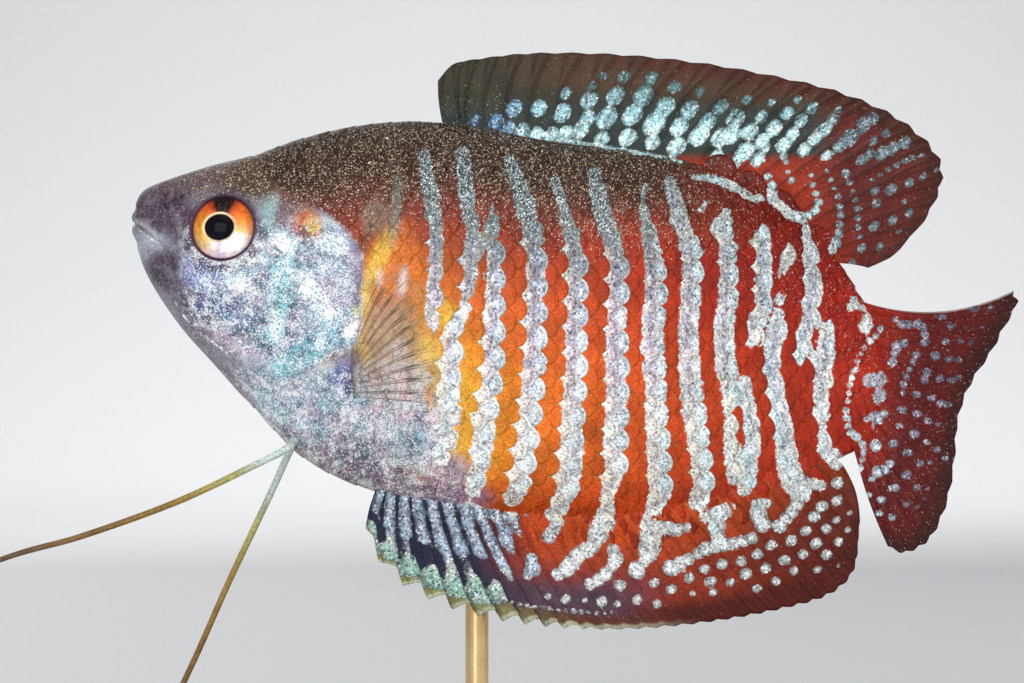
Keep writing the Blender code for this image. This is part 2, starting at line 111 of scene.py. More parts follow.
put_down()
bpy.ops.mesh.primitive_plane_add(size=FLOOR_SIZE, location=(0, 0, 0))
sweep = bpy.context.object
sweep.name = "sweep"
pick_edges(sweep, lambda middle: middle.y > 1.4)
bpy.ops.mesh.extrude_region_move(TRANSFORM_OT_translate={"value": (0, 0, WALL_HIGH)})
pick_edges(sweep, lambda middle: middle.y > 1.4 and abs(middle.z) < 0.01)
bpy.ops.mesh.bevel(offset=CORNER, segments=24, affect="EDGES")
bpy.ops.object.mode_set(mode="OBJECT")
sweep.data.shade_smooth()
paper = bpy.data.materials.new("pale_paper")
paper.use_nodes = True
paper_shader = paper.node_tree.nodes["Principled BSDF"]
paper_shader.inputs["Base Color"].default_value = PAPER_COLOUR
paper_shader.inputs["Roughness"].default_value = 0.9
sweep.data.materials.append(paper)


def lamp(name, place, aim, size, power):
    """A square soft lamp that faces a point, all in millimetres but its power in watts."""
    light = bpy.data.lights.new(name, "AREA")
    light.size, light.energy = size * MM, power
    ob = bpy.data.objects.new(name, light)
    ob.location = [c * MM for c in place]
    turn = Vector((np.array(aim) - np.array(place)).tolist())
    ob.rotation_euler = turn.to_track_quat("-Z", "Y").to_euler()
    bpy.context.scene.collection.objects.link(ob)


for given in LAMPS:
    lamp(*given)
sky = bpy.data.worlds.new("pale_tent")
sky.use_nodes = True
sky_light = sky.node_tree.nodes["Background"]
sky_light.inputs["Color"].default_value = SKY_COLOUR
sky_light.inputs["Strength"].default_value = 0.34
bpy.context.scene.world = sky
bpy.context.scene.view_settings.view_transform = "Standard"

# %% [markdown]
# ## Finishes: flakes and ragged edges
# What glitters on this fish is thousands of tiny crystal plates in its skin, about a tenth of a
# millimetre across. A Voronoi texture splits space into such cells, and its random colour gives each
# plate its own brightness. The edges of the pale marks are ragged at the same scale. Both effects are
# used on skin, scales and fins, so each is a node group built once.

# %% Node helpers
def group(name, inputs, outputs):
    """An empty shader group with float, colour or vector sockets, and its own in and out nodes."""
    tree = bpy.data.node_groups.new(name, "ShaderNodeTree")
    kinds = {"value": "NodeSocketFloat", "colour": "NodeSocketColor", "vector": "NodeSocketVector"}
    for socket, kind, *start in inputs:
        made = tree.interface.new_socket(socket, in_out="INPUT", socket_type=kinds[kind])
        if start:
            made.default_value = start[0]
    for socket, kind in outputs:
        tree.interface.new_socket(socket, in_out="OUTPUT", socket_type=kinds[kind])
    return tree, tree.nodes.new("NodeGroupInput"), tree.nodes.new("NodeGroupOutput")


def feed(tree, socket, value):
    """Sets a socket to a number or colour, or links it to another node's output."""
    if isinstance(value, bpy.types.NodeSocket):
        tree.links.new(value, socket)
    elif isinstance(value, (tuple, list)) and len(value) == 3 and len(socket.default_value) == 4:
        socket.default_value = (*value, 1.0)
    else:
        socket.default_value = value


def sum_node(tree, operation, a, b=0.0, c=0.0, clamp=False):
    node = tree.nodes.new("ShaderNodeMath")
    node.operation, node.use_clamp = operation, clamp
    for socket, value in zip(node.inputs, (a, b, c)):
        feed(tree, socket, value)
    return node.outputs[0]


def times(tree, a, b):
    return sum_node(tree, "MULTIPLY", a, b)


def ramp(tree, value, low, high, to_low=0.0, to_high=1.0, kind="SMOOTHSTEP"):
    node = tree.nodes.new("ShaderNodeMapRange")
    node.interpolation_type = kind
    for i, v in enumerate((value, low, high, to_low, to_high)):
        feed(tree, node.inputs[i], v)
    return node.outputs[0]


def blend_colours(tree, share, a, b, kind="MIX"):
    node = tree.nodes.new("ShaderNodeMix")
    node.data_type, node.blend_type = "RGBA", kind
    feed(tree, node.inputs["Factor"], share)
    feed(tree, node.inputs[6], a)
    feed(tree, node.inputs[7], b)
    return node.outputs[2]


def tinted(tree, colour, by):
    """A colour multiplied by another, or by a value."""
    return blend_colours(tree, 1.0, colour, by, "MULTIPLY")


def cloud(tree, where, scale, detail=2.0, rough=0.5):
    node = tree.nodes.new("ShaderNodeTexNoise")
    feed(tree, node.inputs["Vector"], where)
    node.inputs["Scale"].default_value = scale
    node.inputs["Detail"].default_value = detail
    node.inputs["Roughness"].default_value = rough
    return node.outputs["Fac"]


def carried(tree, name, kind="Fac"):
    """A value or colour that the mesh carries at its own points."""
    node = tree.nodes.new("ShaderNodeAttribute")
    node.attribute_name = name
    return node.outputs[kind]

# %% Flake and edge groups
def make_flakes():
    tree, given, out = group("flakes", [("Place", "vector"), ("Cells per metre", "value", 9200.0)],
                             [("Bright", "value"), ("Tint", "value"), ("Gap", "value")])
    cells = tree.nodes.new("ShaderNodeTexVoronoi")
    tree.links.new(given.outputs["Place"], cells.inputs["Vector"])
    tree.links.new(given.outputs["Cells per metre"], cells.inputs["Scale"])
    parts = tree.nodes.new("ShaderNodeSeparateColor")
    tree.links.new(cells.outputs["Color"], parts.inputs["Color"])
    for i, name in enumerate(("Bright", "Tint", "Gap")):
        tree.links.new(parts.outputs[i], out.inputs[name])
    return tree


def make_ragged():
    inputs = [("Place", "vector"), ("Depth", "value"), ("Bite", "value", 0.3)]
    tree, given, out = group("ragged_edge", inputs, [("Mask", "value")])
    where = given.outputs["Place"]
    bites = sum_node(tree, "ADD", cloud(tree, where, 2800.0, 4.0, 0.7), cloud(tree, where, 1100.0))
    bites = times(tree, sum_node(tree, "SUBTRACT", bites, 1.0), given.outputs["Bite"])
    edge = sum_node(tree, "ADD", given.outputs["Depth"], bites)
    tree.links.new(ramp(tree, edge, -0.05, 0.07), out.inputs["Mask"])
    return tree


def new_finish(name, **values):
    """A new finish: its material, its nodes, its shader with values set, and the place on the piece."""
    material = bpy.data.materials.new(name)
    material.use_nodes = True
    tree = material.node_tree
    shader = tree.nodes["Principled BSDF"]
    for socket, value in values.items():
        shader.inputs[socket.replace("_", " ")].default_value = value
    return material, tree, shader, tree.nodes.new("ShaderNodeTexCoord").outputs["Object"]


def raise_bump(tree, shader, strength, distance, height):
    bump = tree.nodes.new("ShaderNodeBump")
    bump.inputs["Strength"].default_value = strength
    bump.inputs["Distance"].default_value = distance
    tree.links.new(height, bump.inputs["Height"])
    tree.links.new(bump.outputs["Normal"], shader.inputs["Normal"])


flakes = make_flakes()
ragged = make_ragged()


def placed(tree, made, **values):
    """A group set into a material, with some of its inputs given."""
    node = tree.nodes.new("ShaderNodeGroup")
    node.node_tree = made
    for name, value in values.items():
        feed(tree, node.inputs[name.replace("_", " ")], value)
    return node


print("groups:", flakes.name, ragged.name)

# %% [markdown]
# ## Living surface
# Skin, scales and fins share one recipe. Each mesh carries two colours at every point, the ground
# colour and the colour of the pale marks, and how deep that point lies in a mark in millimetres.
# The shader turns that depth into a crisp ragged edge, breaks both colours up into flakes, and adds
# golden specks on the back and silvery blotches on the head. So the pattern is as sharp as the
# render needs, however coarse the mesh is.

# %% Living surface material
FINE_PLATES, DUST_PLATES = 5600.0, 11800.0
GOLD_SPECK, TEAL_SPECK = (0.74, 0.66, 0.50), (0.80, 0.92, 0.92)
LILAC_CAST, SEA_CAST = (1.12, 0.92, 1.06), (0.78, 1.04, 1.10)
DARK_PLATE, WHITE_PLATE = (0.06, 0.08, 0.11), (0.97, 0.99, 0.98)
# Painted light on the scales: a dark line of painted shade inside each free edge, a pale painted highlight
# along that edge, and painted shade on the ground along it.
SCALE_SHADE_LINE, SCALE_RIM_HIGHLIGHT, GROUND_RIM_SHADE = (0.10, 0.12, 0.16), (0.90, 0.97, 0.97), (0.62, 0.56, 0.42)
SHINE_METAL = 0.25


def edge_light_and_shade(tree):
    """On a scale: its free edge, which carries a painted highlight on the pale marks and painted shade on
    the ground, and the darker line inside it, painted shade that outlines the scales.
    """
    p, q = carried(tree, "scale_p"), carried(tree, "scale_q")
    r = sum_node(tree, "SQRT", sum_node(tree, "ADD", times(tree, p, p), times(tree, q, q)))
    return ramp(tree, r, 0.86, 0.95), times(tree, ramp(tree, r, 0.62, 0.72), ramp(tree, r, 0.88, 0.80))


def ground_finish(tree, where, bright, tint, gap):
    """The ground colour with its grain, and on the head its silver blotches, glitter, dark blotches and
    dark flakes.
    """
    broad = ramp(tree, cloud(tree, where, 420.0, 3.0), 0.3, 0.7, 0.8, 1.15)
    ground = tinted(tree, carried(tree, "ground", "Color"), broad)
    ground = tinted(tree, ground, ramp(tree, bright, 0.0, 1.0, 0.66, 1.3, "LINEAR"))
    silver = carried(tree, "mottle")
    lilac_to_sea = ramp(tree, cloud(tree, where, 640.0, 2.0), 0.36, 0.64)
    cast = blend_colours(tree, lilac_to_sea, LILAC_CAST, SEA_CAST)
    ground = blend_colours(tree, silver, ground, tinted(tree, ground, cast))
    blotch = cloud(tree, where, 880.0, 2.5, 0.6)
    for share, strength, tone in (
        (ramp(tree, blotch, 0.5, 0.64), 0.75, (0.92, 0.95, 0.96)),
        (ramp(tree, blotch, 0.47, 0.33), 0.7, (0.06, 0.07, 0.13)),
        (ramp(tree, gap, 0.66, 0.84), 0.78, (0.95, 0.97, 0.98)),
        (ramp(tree, tint, 0.64, 0.82), 0.68, (0.045, 0.06, 0.10)),
    ):
        ground = blend_colours(tree, times(tree, times(tree, share, silver), strength), ground, tone)
    return ground


def shine_finish(tree, bright, fine, ridged):
    """The colour of the pale marks, broken into plates. On ridged fins it is dimmer at a mark's edge."""
    fine_bright, fine_tint, fine_gap = tuple(fine.outputs)
    sparkle = sum_node(tree, "ADD", ramp(tree, fine_bright, 0.0, 1.0, 0.2, 0.94, "LINEAR"),
                       ramp(tree, bright, 0.0, 1.0, 0.06, 0.92, "LINEAR"))
    shine = tinted(tree, carried(tree, "shine", "Color"), sparkle)
    if ridged:
        shine = tinted(tree, shine, ramp(tree, carried(tree, "mark"), 0.0, 0.4, 0.5, 1.1))
    dark_share = ramp(tree, carried(tree, "shine"), 0.3, 0.9, 0.95, 0.35)
    dark_share = times(tree, ramp(tree, fine_tint, 0.76, 0.92), dark_share)
    shine = blend_colours(tree, dark_share, shine, DARK_PLATE)
    bright_share = ramp(tree, carried(tree, "shine"), 0.1, 0.6, 0.3, 0.85)
    bright_share = times(tree, ramp(tree, fine_gap, 0.82, 0.93), bright_share)
    return blend_colours(tree, bright_share, shine, WHITE_PLATE)


def living_surface(name, rough=0.40, coat=0.05, bite=0.3, rays=None, scaled=False):
    """The finish of skin, scales and fins: bite is how ragged marks are, rays a colour and strength."""
    material, tree, shader, where = new_finish(name, Specular_IOR_Level=0.15, Coat_Weight=coat,
                                               Coat_Roughness=0.22)
    bright, tint, gap = tuple(placed(tree, flakes, Place=where).outputs)
    fine = placed(tree, flakes, Place=where, Cells_per_metre=FINE_PLATES)
    mask = placed(tree, ragged, Place=where, Depth=carried(tree, "mark"), Bite=bite).outputs["Mask"]
    ground = ground_finish(tree, where, bright, tint, gap)
    shine = shine_finish(tree, bright, fine, rays)

    dust = placed(tree, flakes, Place=where, Cells_per_metre=DUST_PLATES).outputs["Gap"]
    scarce = sum_node(tree, "MULTIPLY_ADD", carried(tree, "glint"), -0.28, 0.99)
    speck = sum_node(tree, "MULTIPLY", sum_node(tree, "SUBTRACT", dust, scarce), 16.0, clamp=True)
    gold = times(tree, speck, ramp(tree, bright, 0.2, 1.0, 0.12, 1.0))
    ground = blend_colours(tree, gold, ground, GOLD_SPECK)
    shine = blend_colours(tree, speck, shine, TEAL_SPECK)
    if scaled:
        # Painted light on the scales: painted shade in a line inside each free edge and a painted highlight
        # along it on the pale marks, and painted shade along the free edge on the ground.
        rim, line = edge_light_and_shade(tree)
        shine = blend_colours(tree, times(tree, line, 0.36), shine, SCALE_SHADE_LINE)
        shine = blend_colours(tree, times(tree, rim, 0.26), shine, SCALE_RIM_HIGHLIGHT)
        ground = blend_colours(tree, times(tree, rim, 0.13), ground, GROUND_RIM_SHADE, "MULTIPLY")
    colour = blend_colours(tree, mask, ground, shine)
    if rays:
        ray_colour, strength = rays
        over = times(tree, ramp(tree, carried(tree, "ridge"), 0.55, 0.95),
                     ramp(tree, mask, 0.0, 1.0, strength, 0.85 * strength))
        colour = blend_colours(tree, over, colour, ray_colour)
    tree.links.new(colour, shader.inputs["Base Color"])
    gloss = ramp(tree, bright, 0.0, 1.0, rough - 0.08, rough + 0.1, "LINEAR")
    tree.links.new(sum_node(tree, "SUBTRACT", gloss, times(tree, mask, 0.06)), shader.inputs["Roughness"])
    tree.links.new(times(tree, mask, SHINE_METAL), shader.inputs["Metallic"])
    grit = sum_node(tree, "ADD", times(tree, fine.outputs["Bright"], 0.6), cloud(tree, where, 2200.0, 3.0))
    raise_bump(tree, shader, 0.5, 0.00005, grit)
    return material


skin_finish = living_surface("fish_skin", bite=0.7)
scale_finish = living_surface("fish_scales", rough=0.38, coat=0.06, bite=0.55, scaled=True)
print("materials:", skin_finish.name, scale_finish.name)

# %% [markdown]
# ## Form of the body
# The body is a row of cross sections from snout to tail, each with the height of the back, the
# height of the belly and half the width. A smooth curve runs through the rows, as in the CAD part.
# Every later piece asks this form where the skin lies and which way it faces, so it is kept as two
# tables that numpy reads for thousands of points at once.

# %% Curves through rows
BODY_STATIONS = [
    (-31.35, 55.6, 55.6, 0.0), (-31.2, 56.8, 54.7, 0.6), (-30.95, 57.8, 53.5, 1.15),
    (-30.3, 58.6, 51.6, 1.7), (-29.0, 59.2, 49.3, 2.3), (-27.0, 59.9, 46.5, 3.0),
    (-24.4, 60.7, 43.6, 3.7), (-21.2, 61.5, 40.0, 4.4), (-17.4, 62.9, 36.0, 5.0),
    (-12.8, 64.0, 33.4, 5.5), (-7.4, 64.5, 32.0, 5.6), (-1.6, 63.9, 31.2, 5.35), (4.4, 62.8, 30.6, 4.8),
    (10.4, 62.1, 30.6, 4.1), (16.0, 61.1, 31.5, 3.3), (20.8, 59.4, 32.8, 2.6), (24.8, 56.8, 34.1, 2.0),
    (27.8, 53.8, 35.2, 1.65), (30.0, 50.8, 36.1, 1.4), (31.8, 47.6, 37.6, 1.1), (33.0, 42.6, 42.6, 0.0),
]
WAIST = 0.54
KEEL = 1.22


def smooth(rows, t):
    """Points on a smooth curve through rows, t from 0 at the first to 1 at the last."""
    rows = np.atleast_2d(np.array(rows, float).T).T
    t = np.clip(np.asarray(t, float), 0, 1) * (len(rows) - 1)
    i = np.minimum(t.astype(int), len(rows) - 2)
    f = (t - i)[..., None]
    a, b, c, d = (rows[np.clip(i + k, 0, len(rows) - 1)] for k in (-1, 0, 1, 2))
    return 0.5 * (2 * b + (c - a) * f + (2 * a - 5 * b + 4 * c - d) * f**2 + (3 * b - a - 3 * c + d) * f**3)


def through(rows, key):
    """A smooth curve through rows whose first number is their key."""
    rows = np.array(rows, float)
    keys, rows = rows[:, 0], rows[:, 1:]
    key = np.clip(np.asarray(key, float), keys[0], keys[-1])
    i = np.clip(np.searchsorted(keys, key, side="right") - 1, 0, len(keys) - 2)
    span = np.diff(keys)
    wide = np.concatenate([keys[1:], keys[-1:]]) - np.concatenate([keys[:1], keys[:-1]])
    slopes = (np.vstack([rows[1:], rows[-1:]]) - np.vstack([rows[:1], rows[:-1]])) / wide[:, None]
    f = ((key - keys[i]) / span[i])[..., None]
    h = span[i][..., None]
    return ((2 * f**3 - 3 * f**2 + 1) * rows[i] + (f**3 - 2 * f**2 + f) * h * slopes[i]
            + (3 * f**2 - 2 * f**3) * rows[i + 1] + (f**3 - f**2) * h * slopes[i + 1])


def step(a, b, x):
    """Rises smoothly from 0 at a to 1 at b."""
    x = np.clip((np.asarray(x, float) - a) / (b - a), 0, 1)
    return x * x * (3 - 2 * x)


line = smooth(BODY_STATIONS, np.linspace(0, 1, 4001))
STATION_X = line[:, 0]


def station_at(x):
    """Back, belly and half width of the body at x."""
    return tuple(np.interp(x, STATION_X, line[:, i]) for i in (1, 2, 3))


body_size = (float(max(line[:, 1] - line[:, 2])), 2 * float(line[:, 3].max()))
print("body is", round(body_size[0], 1), "deep and", round(body_size[1], 1), "wide")

# %% Tables of the surface
TABLE_X = np.unique(np.concatenate([line[:600:4, 0], np.linspace(-30.2, 31.5, 800), line[3600::4, 0]]))
TURN_STEPS, ARC_STEPS = 720, 400
TURN = np.linspace(0, math.pi, TURN_STEPS + 1)


def section(back, belly, half, up, across):
    """A point of a cross section: y out from the middle plane, and z."""
    middle = belly + (back - belly) * WAIST
    z = middle + np.where(up > 0, back - middle, middle - belly) * up
    across = np.abs(across)
    return half * np.where(up > 0, across, across**KEEL), z


def surface_tables():
    """For each x, y and z at even steps of arc, from the back over the widest line to the belly."""
    back, belly, half = (v[:, None] for v in station_at(TABLE_X))
    y, z = section(back, belly, half, np.cos(TURN)[None], np.sin(TURN)[None])
    gone = np.cumsum(np.hypot(np.diff(y), np.diff(z)), axis=1)
    arc = np.concatenate([np.zeros((len(TABLE_X), 1)), gone], axis=1)
    widest = arc[:, TURN_STEPS // 2]
    upper, lower = widest, arc[:, -1] - widest
    share = np.linspace(1, -1, ARC_STEPS + 1)
    rows_y, rows_z = [], []
    for i in range(len(TABLE_X)):
        wanted = np.where(share > 0, widest[i] - share * upper[i], widest[i] - share * lower[i])
        rows_y.append(np.interp(wanted, arc[i], y[i]))
        rows_z.append(np.interp(wanted, arc[i], z[i]))
    return np.array(rows_y), np.array(rows_z), upper, lower


TABLE_Y, TABLE_Z, ARC_UP, ARC_LOW = surface_tables()


def on_body(x, n, side):
    """Points on the body at x and share n of the arc: 1 back, 0 widest line, -1 belly, past 1 beyond."""
    x, n = np.broadcast_arrays(np.asarray(x, float), np.asarray(n, float))
    over = np.abs(n) > 1
    folded = np.where(over, np.sign(n) * 2 - n, n)
    i = np.clip(np.searchsorted(TABLE_X, x) - 1, 0, len(TABLE_X) - 2)
    f = np.clip((x - TABLE_X[i]) / (TABLE_X[i + 1] - TABLE_X[i]), 0, 1)
    k = np.clip((1 - folded) * ARC_STEPS / 2, 0, ARC_STEPS - 0.001)
    j = k.astype(int)
    g = k - j

    def read(table):
        top = table[i, j] * (1 - g) + table[i, j + 1] * g
        low = table[i + 1, j] * (1 - g) + table[i + 1, j + 1] * g
        return top * (1 - f) + low * f
    y = read(TABLE_Y) * np.where(over, -1, 1) * side
    return np.stack([x, y, read(TABLE_Z)], -1)


def facing(x, n, side):
    """The way the skin faces at those points."""
    along = on_body(np.minimum(x + 0.05, 32.99), n, side) - on_body(np.maximum(x - 0.05, -31.349), n, side)
    around = on_body(x, n + 0.01, side) - on_body(x, n - 0.01, side)
    out = np.cross(along, around)
    out *= -np.sign(side)
    return out / np.maximum(np.linalg.norm(out, axis=-1, keepdims=True), 1e-9)


def share_at(x, z):
    """The share of arc at which the body at x has height z."""
    x, z = np.broadcast_arrays(np.asarray(x, float), np.asarray(z, float))
    i = np.clip(np.searchsorted(TABLE_X, x), 0, len(TABLE_X) - 1)
    low, high = np.full(x.shape, -1.0), np.full(x.shape, 1.0)
    for _ in range(16):
        middle = (low + high) / 2
        k = np.clip(((1 - middle) * ARC_STEPS / 2).round().astype(int), 0, ARC_STEPS)
        above = TABLE_Z[i, k] > z
        high = np.where(above, middle, high)
        low = np.where(above, low, middle)
    return (low + high) / 2


def arc_at(x):
    """Length of the arc from the widest line up to the back and down to the belly."""
    return np.interp(x, TABLE_X, ARC_UP), np.interp(x, TABLE_X, ARC_LOW)


def skin_point(x, z, side):
    n = share_at(x, z)
    return on_body(x, n, side), facing(x, n, side)


def as_seen(points):
    """Where points show in the side view's own plane, which mirrors the far side onto the near one."""
    points = np.asarray(points, float)
    reach = -CAMERA[1] / (-CAMERA[1] - np.abs(points[..., 1]))
    x, z = (CAMERA[i] + (points[..., i] - CAMERA[i]) * reach for i in (0, 2))
    return x, z


for spot in ((-23.4, 55.2), (0.0, 46.0)):
    print("the left side faces", skin_point(*spot, -1)[1].round(2), "at", spot)

# %% [markdown]
# ## Helpers for meshes
# Most pieces start as a primitive whose points are then placed by rule. These helpers read the
# points, write them back, and store a value or colour at each of them.

# %% Mesh helpers
def points_of(piece):
    flat = np.empty(len(piece.data.vertices) * 3)
    piece.data.vertices.foreach_get("co", flat)
    return flat.reshape(-1, 3)


def put_points(piece, points):
    piece.data.vertices.foreach_set("co", np.asarray(points, float).ravel())
    piece.data.update()


def carry(piece, name, values):
    """Stores a number, or a colour, at every point of a mesh."""
    values = np.asarray(values, float)
    old = piece.data.attributes.get(name)
    if old:
        piece.data.attributes.remove(old)
    if values.ndim == 1:
        piece.data.attributes.new(name, "FLOAT", "POINT").data.foreach_set("value", values)
    else:
        rgba = np.ones((len(values), 4))
        rgba[:, :3] = np.clip(values[:, :3], 0, 1)
        piece.data.attributes.new(name, "FLOAT_COLOR", "POINT").data.foreach_set("color", rgba.ravel())


def lay_colours(piece, colours):
    """Stores everything the living surface reads; what isn't given is zero."""
    blank = np.zeros(len(piece.data.vertices))
    for name in ("mark", "glint", "mottle", "ridge"):
        carry(piece, name, colours.get(name, blank - (5 if name == "mark" else 0)))
    for name in ("ground", "shine"):
        carry(piece, name, colours[name])


def pick_only(piece):
    put_down()
    piece.select_set(True)
    bpy.context.view_layer.objects.active = piece


def outward(piece):
    """Turns every face outward and shades the piece smooth."""
    pick_only(piece)
    bpy.ops.object.mode_set(mode="EDIT")
    bpy.ops.mesh.select_all(action="SELECT")
    bpy.ops.mesh.normals_make_consistent(inside=False)
    bpy.ops.object.mode_set(mode="OBJECT")
    bpy.ops.object.shade_smooth()


def apply_all(piece):
    pick_only(piece)
    for modifier in list(piece.modifiers):
        bpy.ops.object.modifier_apply(modifier=modifier.name)


STROKE_REACH = 3


def depth_in(strokes, x, z):
    """How deep points lie inside strokes, in mm. Each stroke lists x, height and half width."""
    depth = np.full(np.shape(x), -5.0)
    for stroke in strokes:
        rows = np.array(stroke, float)
        if len(rows) == 1:
            rows = np.vstack([rows, rows])
        for (ax, az, aw), (bx, bz, bw) in zip(rows[:-1], rows[1:]):
            near = (x > min(ax, bx) - STROKE_REACH) & (x < max(ax, bx) + STROKE_REACH)
            near &= (z > min(az, bz) - STROKE_REACH) & (z < max(az, bz) + STROKE_REACH)
            if not near.any():
                continue
            px, pz = x[near], z[near]
            long = (bx - ax) ** 2 + (bz - az) ** 2
            f = np.clip(((px - ax) * (bx - ax) + (pz - az) * (bz - az)) / max(long, 1e-9), 0, 1)
            away = np.hypot(px - ax - f * (bx - ax), pz - az - f * (bz - az))
            depth[near] = np.maximum(depth[near], aw + (bw - aw) * f - away)
    return depth


def paint(colour, patches, x, z):
    """Lays soft oval patches of colour over a ground: centre, radii, tilt in degrees, colour, strength."""
    for cx, cz, rx, rz, tilt, tone, strength in patches:
        c, s = math.cos(math.radians(tilt)), math.sin(math.radians(tilt))
        dx, dz = x - cx, z - cz
        away = np.hypot((dx * c + dz * s) / rx, (-dx * s + dz * c) / rz)
        share = (strength * step(1.25, 0.45, away))[..., None]
        colour = colour * (1 - share) + np.array(tone) * share
    return colour


def tones(rows, key):
    """A colour from a list of keyed colours, blended evenly between them."""
    rows = np.array(rows, float)
    return np.stack([np.interp(key, rows[:, 0], rows[:, i]) for i in (1, 2, 3)], -1)


print("helpers ready")

# %% [markdown]
# ## Markings
# A male's flank carries slanting rows of pale blue on red, and his fins are sprinkled with pale
# dots. Every mark is a stroke given in the side view: points with their half widths. The far
# side repeats them. Marks are stored on the meshes as a depth in millimetres, so their edges stay
# sharp.

# %% Strokes and dots
# A stroke is a row of points: x, height and half the stroke's width there.
STRIPES = [
    [(-6.5, 61.5, 0.51), (-6, 58.5, 0.68), (-5.6, 56, 0.73), (-5.6, 52.1, 0.73), (-5.7, 49.1, 0.73),
     (-6, 46.9, 0.51)],
    [(-3.2, 61.7, 0.6), (-2.9, 58.5, 0.68), (-2.6, 55.8, 0.6), (-2.4, 54.3, 0.43)],
    [(-2.4, 54.3, 0.68), (-2.7, 52.4, 0.68), (-2.7, 50.9, 0.68), (-3, 49.2, 0.6), (-3.6, 47.3, 0.51),
     (-4.3, 45.3, 0.85), (-4.2, 43, 0.85), (-4.4, 40.6, 0.85), (-4.6, 38, 0.77), (-5.1, 35.6, 0.51)],
    [(-2.2, 54, 0.51), (-1.4, 54.2, 0.51), (-0.7, 54.5, 0.43)],
    [(-0.7, 57.3, 0.26), (-0.6, 55.3, 0.43)],
    [(-0.5, 53.8, 0.68), (-0.4, 50.9, 0.77), (-0.5, 48.3, 0.81), (-0.8, 45.7, 0.81), (-0.8, 43.2, 0.85),
     (-1.1, 40.6, 0.85), (-1.3, 38, 0.85), (-1.6, 35.5, 0.81), (-2.3, 32.9, 0.6)],
    [(0.9, 61.1, 0.51), (1.5, 59.4, 0.68), (2.1, 57.3, 0.85), (2.6, 54.7, 0.85), (3.2, 52.4, 0.9),
     (3.1, 50.4, 0.9), (2.9, 48.3, 0.85), (2.8, 45.7, 0.85), (2.6, 42.3, 0.85), (2.3, 39.3, 0.85),
     (2.2, 37.2, 0.98), (1.9, 34.8, 0.98), (1.1, 32.3, 0.68)],
    [(4.7, 59.4, 0.43), (5.4, 57.3, 0.43), (5.7, 55.6, 0.68), (6.4, 52.4, 0.85), (6.4, 49.1, 0.9),
     (6.2, 46.6, 0.85), (6.3, 43.6, 0.85), (6.1, 39.3, 0.98), (6, 36.3, 1.07), (5.8, 33.9, 1.03),
     (5.1, 31.5, 0.68)],
    [(8, 60.1, 0.51), (8.6, 57.4, 0.77), (9.5, 54.1, 0.85), (9.9, 51.7, 0.85), (9.9, 50, 0.9),
     (9.7, 47.6, 0.85), (9.8, 44, 0.94), (9.9, 40.6, 0.98), (9.7, 37.6, 0.98), (9.6, 34.6, 0.9),
     (9.1, 32.3, 0.51)],
    [(12.2, 57, 0.34), (12.6, 55.1, 0.68), (13, 52.4, 0.85), (13.1, 50, 0.9), (12.9, 46.2, 0.85),
     (13.1, 41.9, 0.81), (13.2, 38, 0.85), (13.5, 34.4, 1.03), (13.7, 32.7, 0.94), (13.2, 31.4, 0.68)],
    [(14.4, 59.4, 0.43), (14.9, 57.9, 0.68), (15.6, 55.1, 0.77), (16.2, 53.2, 0.81), (16.2, 51.3, 0.85),
     (16, 47, 0.81), (16.1, 43, 0.85), (16.5, 38.9, 0.9), (17, 35, 0.94), (17.2, 33.2, 0.9),
     (17, 31.8, 0.77)],
    [(19.4, 56.6, 0.43), (19, 55.6, 0.68), (19.2, 53.8, 0.77), (19.3, 50, 0.81), (19, 46.2, 0.81),
     (19.2, 43.3, 0.85), (19.4, 41.6, 0.77)],
    [(18.1, 55, 0.34), (18.6, 55.8, 0.34)],
    [(19.4, 41.6, 0.68), (19.4, 39.1, 0.51), (19.6, 36.3, 0.51), (20.1, 33.9, 0.68)],
    [(20.9, 42.1, 0.51), (21.2, 39.6, 0.68), (21.5, 37.2, 0.73), (21.2, 34.8, 0.77), (20.9, 32.9, 0.51)],
    [(19.9, 40.3, 0.68), (20.7, 40.4, 0.68)],
    [(20.1, 34.6, 0.68), (20.9, 34.4, 0.68)],
    [(22.5, 55.1, 0.51), (22.4, 53.6, 0.77), (22.3, 51.7, 0.85), (22.4, 50, 0.85), (22.2, 48.3, 0.77),
     (21.8, 46.9, 0.68), (21.4, 45.5, 0.43)],
    [(21.3, 54, 0.34), (21.8, 54.9, 0.43)],
    [(24.7, 53.3, 0.43), (24.3, 52.5, 0.43), (24.4, 51.9, 0.43), (24, 51.1, 0.26)],
    [(24.3, 49.8, 0.34), (23.9, 48.9, 0.34)],
    [(23.8, 48.1, 0.43), (23.6, 46.9, 0.68), (23.3, 45.3, 0.77), (23.1, 43.8, 0.68), (23.5, 41.9, 0.77),
     (23.8, 39.9, 0.77), (24.2, 38.2, 0.85), (24.3, 36.2, 0.98), (24.7, 34.4, 1.11), (25.2, 33.4, 1.11)],
    [(25.2, 33.4, 1.03), (25.7, 32.8, 0.94), (25.4, 32, 0.51)],
    [(25.6, 33.3, 0.68), (26.7, 33.4, 0.51), (27.4, 33.3, 0.51)],
    [(26.1, 55.7, 0.21), (26.2, 54.3, 0.43), (26.5, 52.4, 0.64), (26.8, 50.3, 0.77), (26.4, 48.9, 0.81),
     (26.2, 46.8, 0.77), (25.7, 45.2, 0.6), (25.4, 43.9, 0.34)],
    [(28, 46.8, 0.51), (27.8, 45.3, 0.77), (27.5, 43.6, 0.94), (27.4, 41.6, 0.77), (27.4, 39.3, 0.51),
     (27.5, 37.9, 0.47), (27.7, 37, 0.51)],
    [(27.7, 36.3, 0.68), (28.3, 35.6, 0.85), (28.7, 35.1, 0.51)],
]
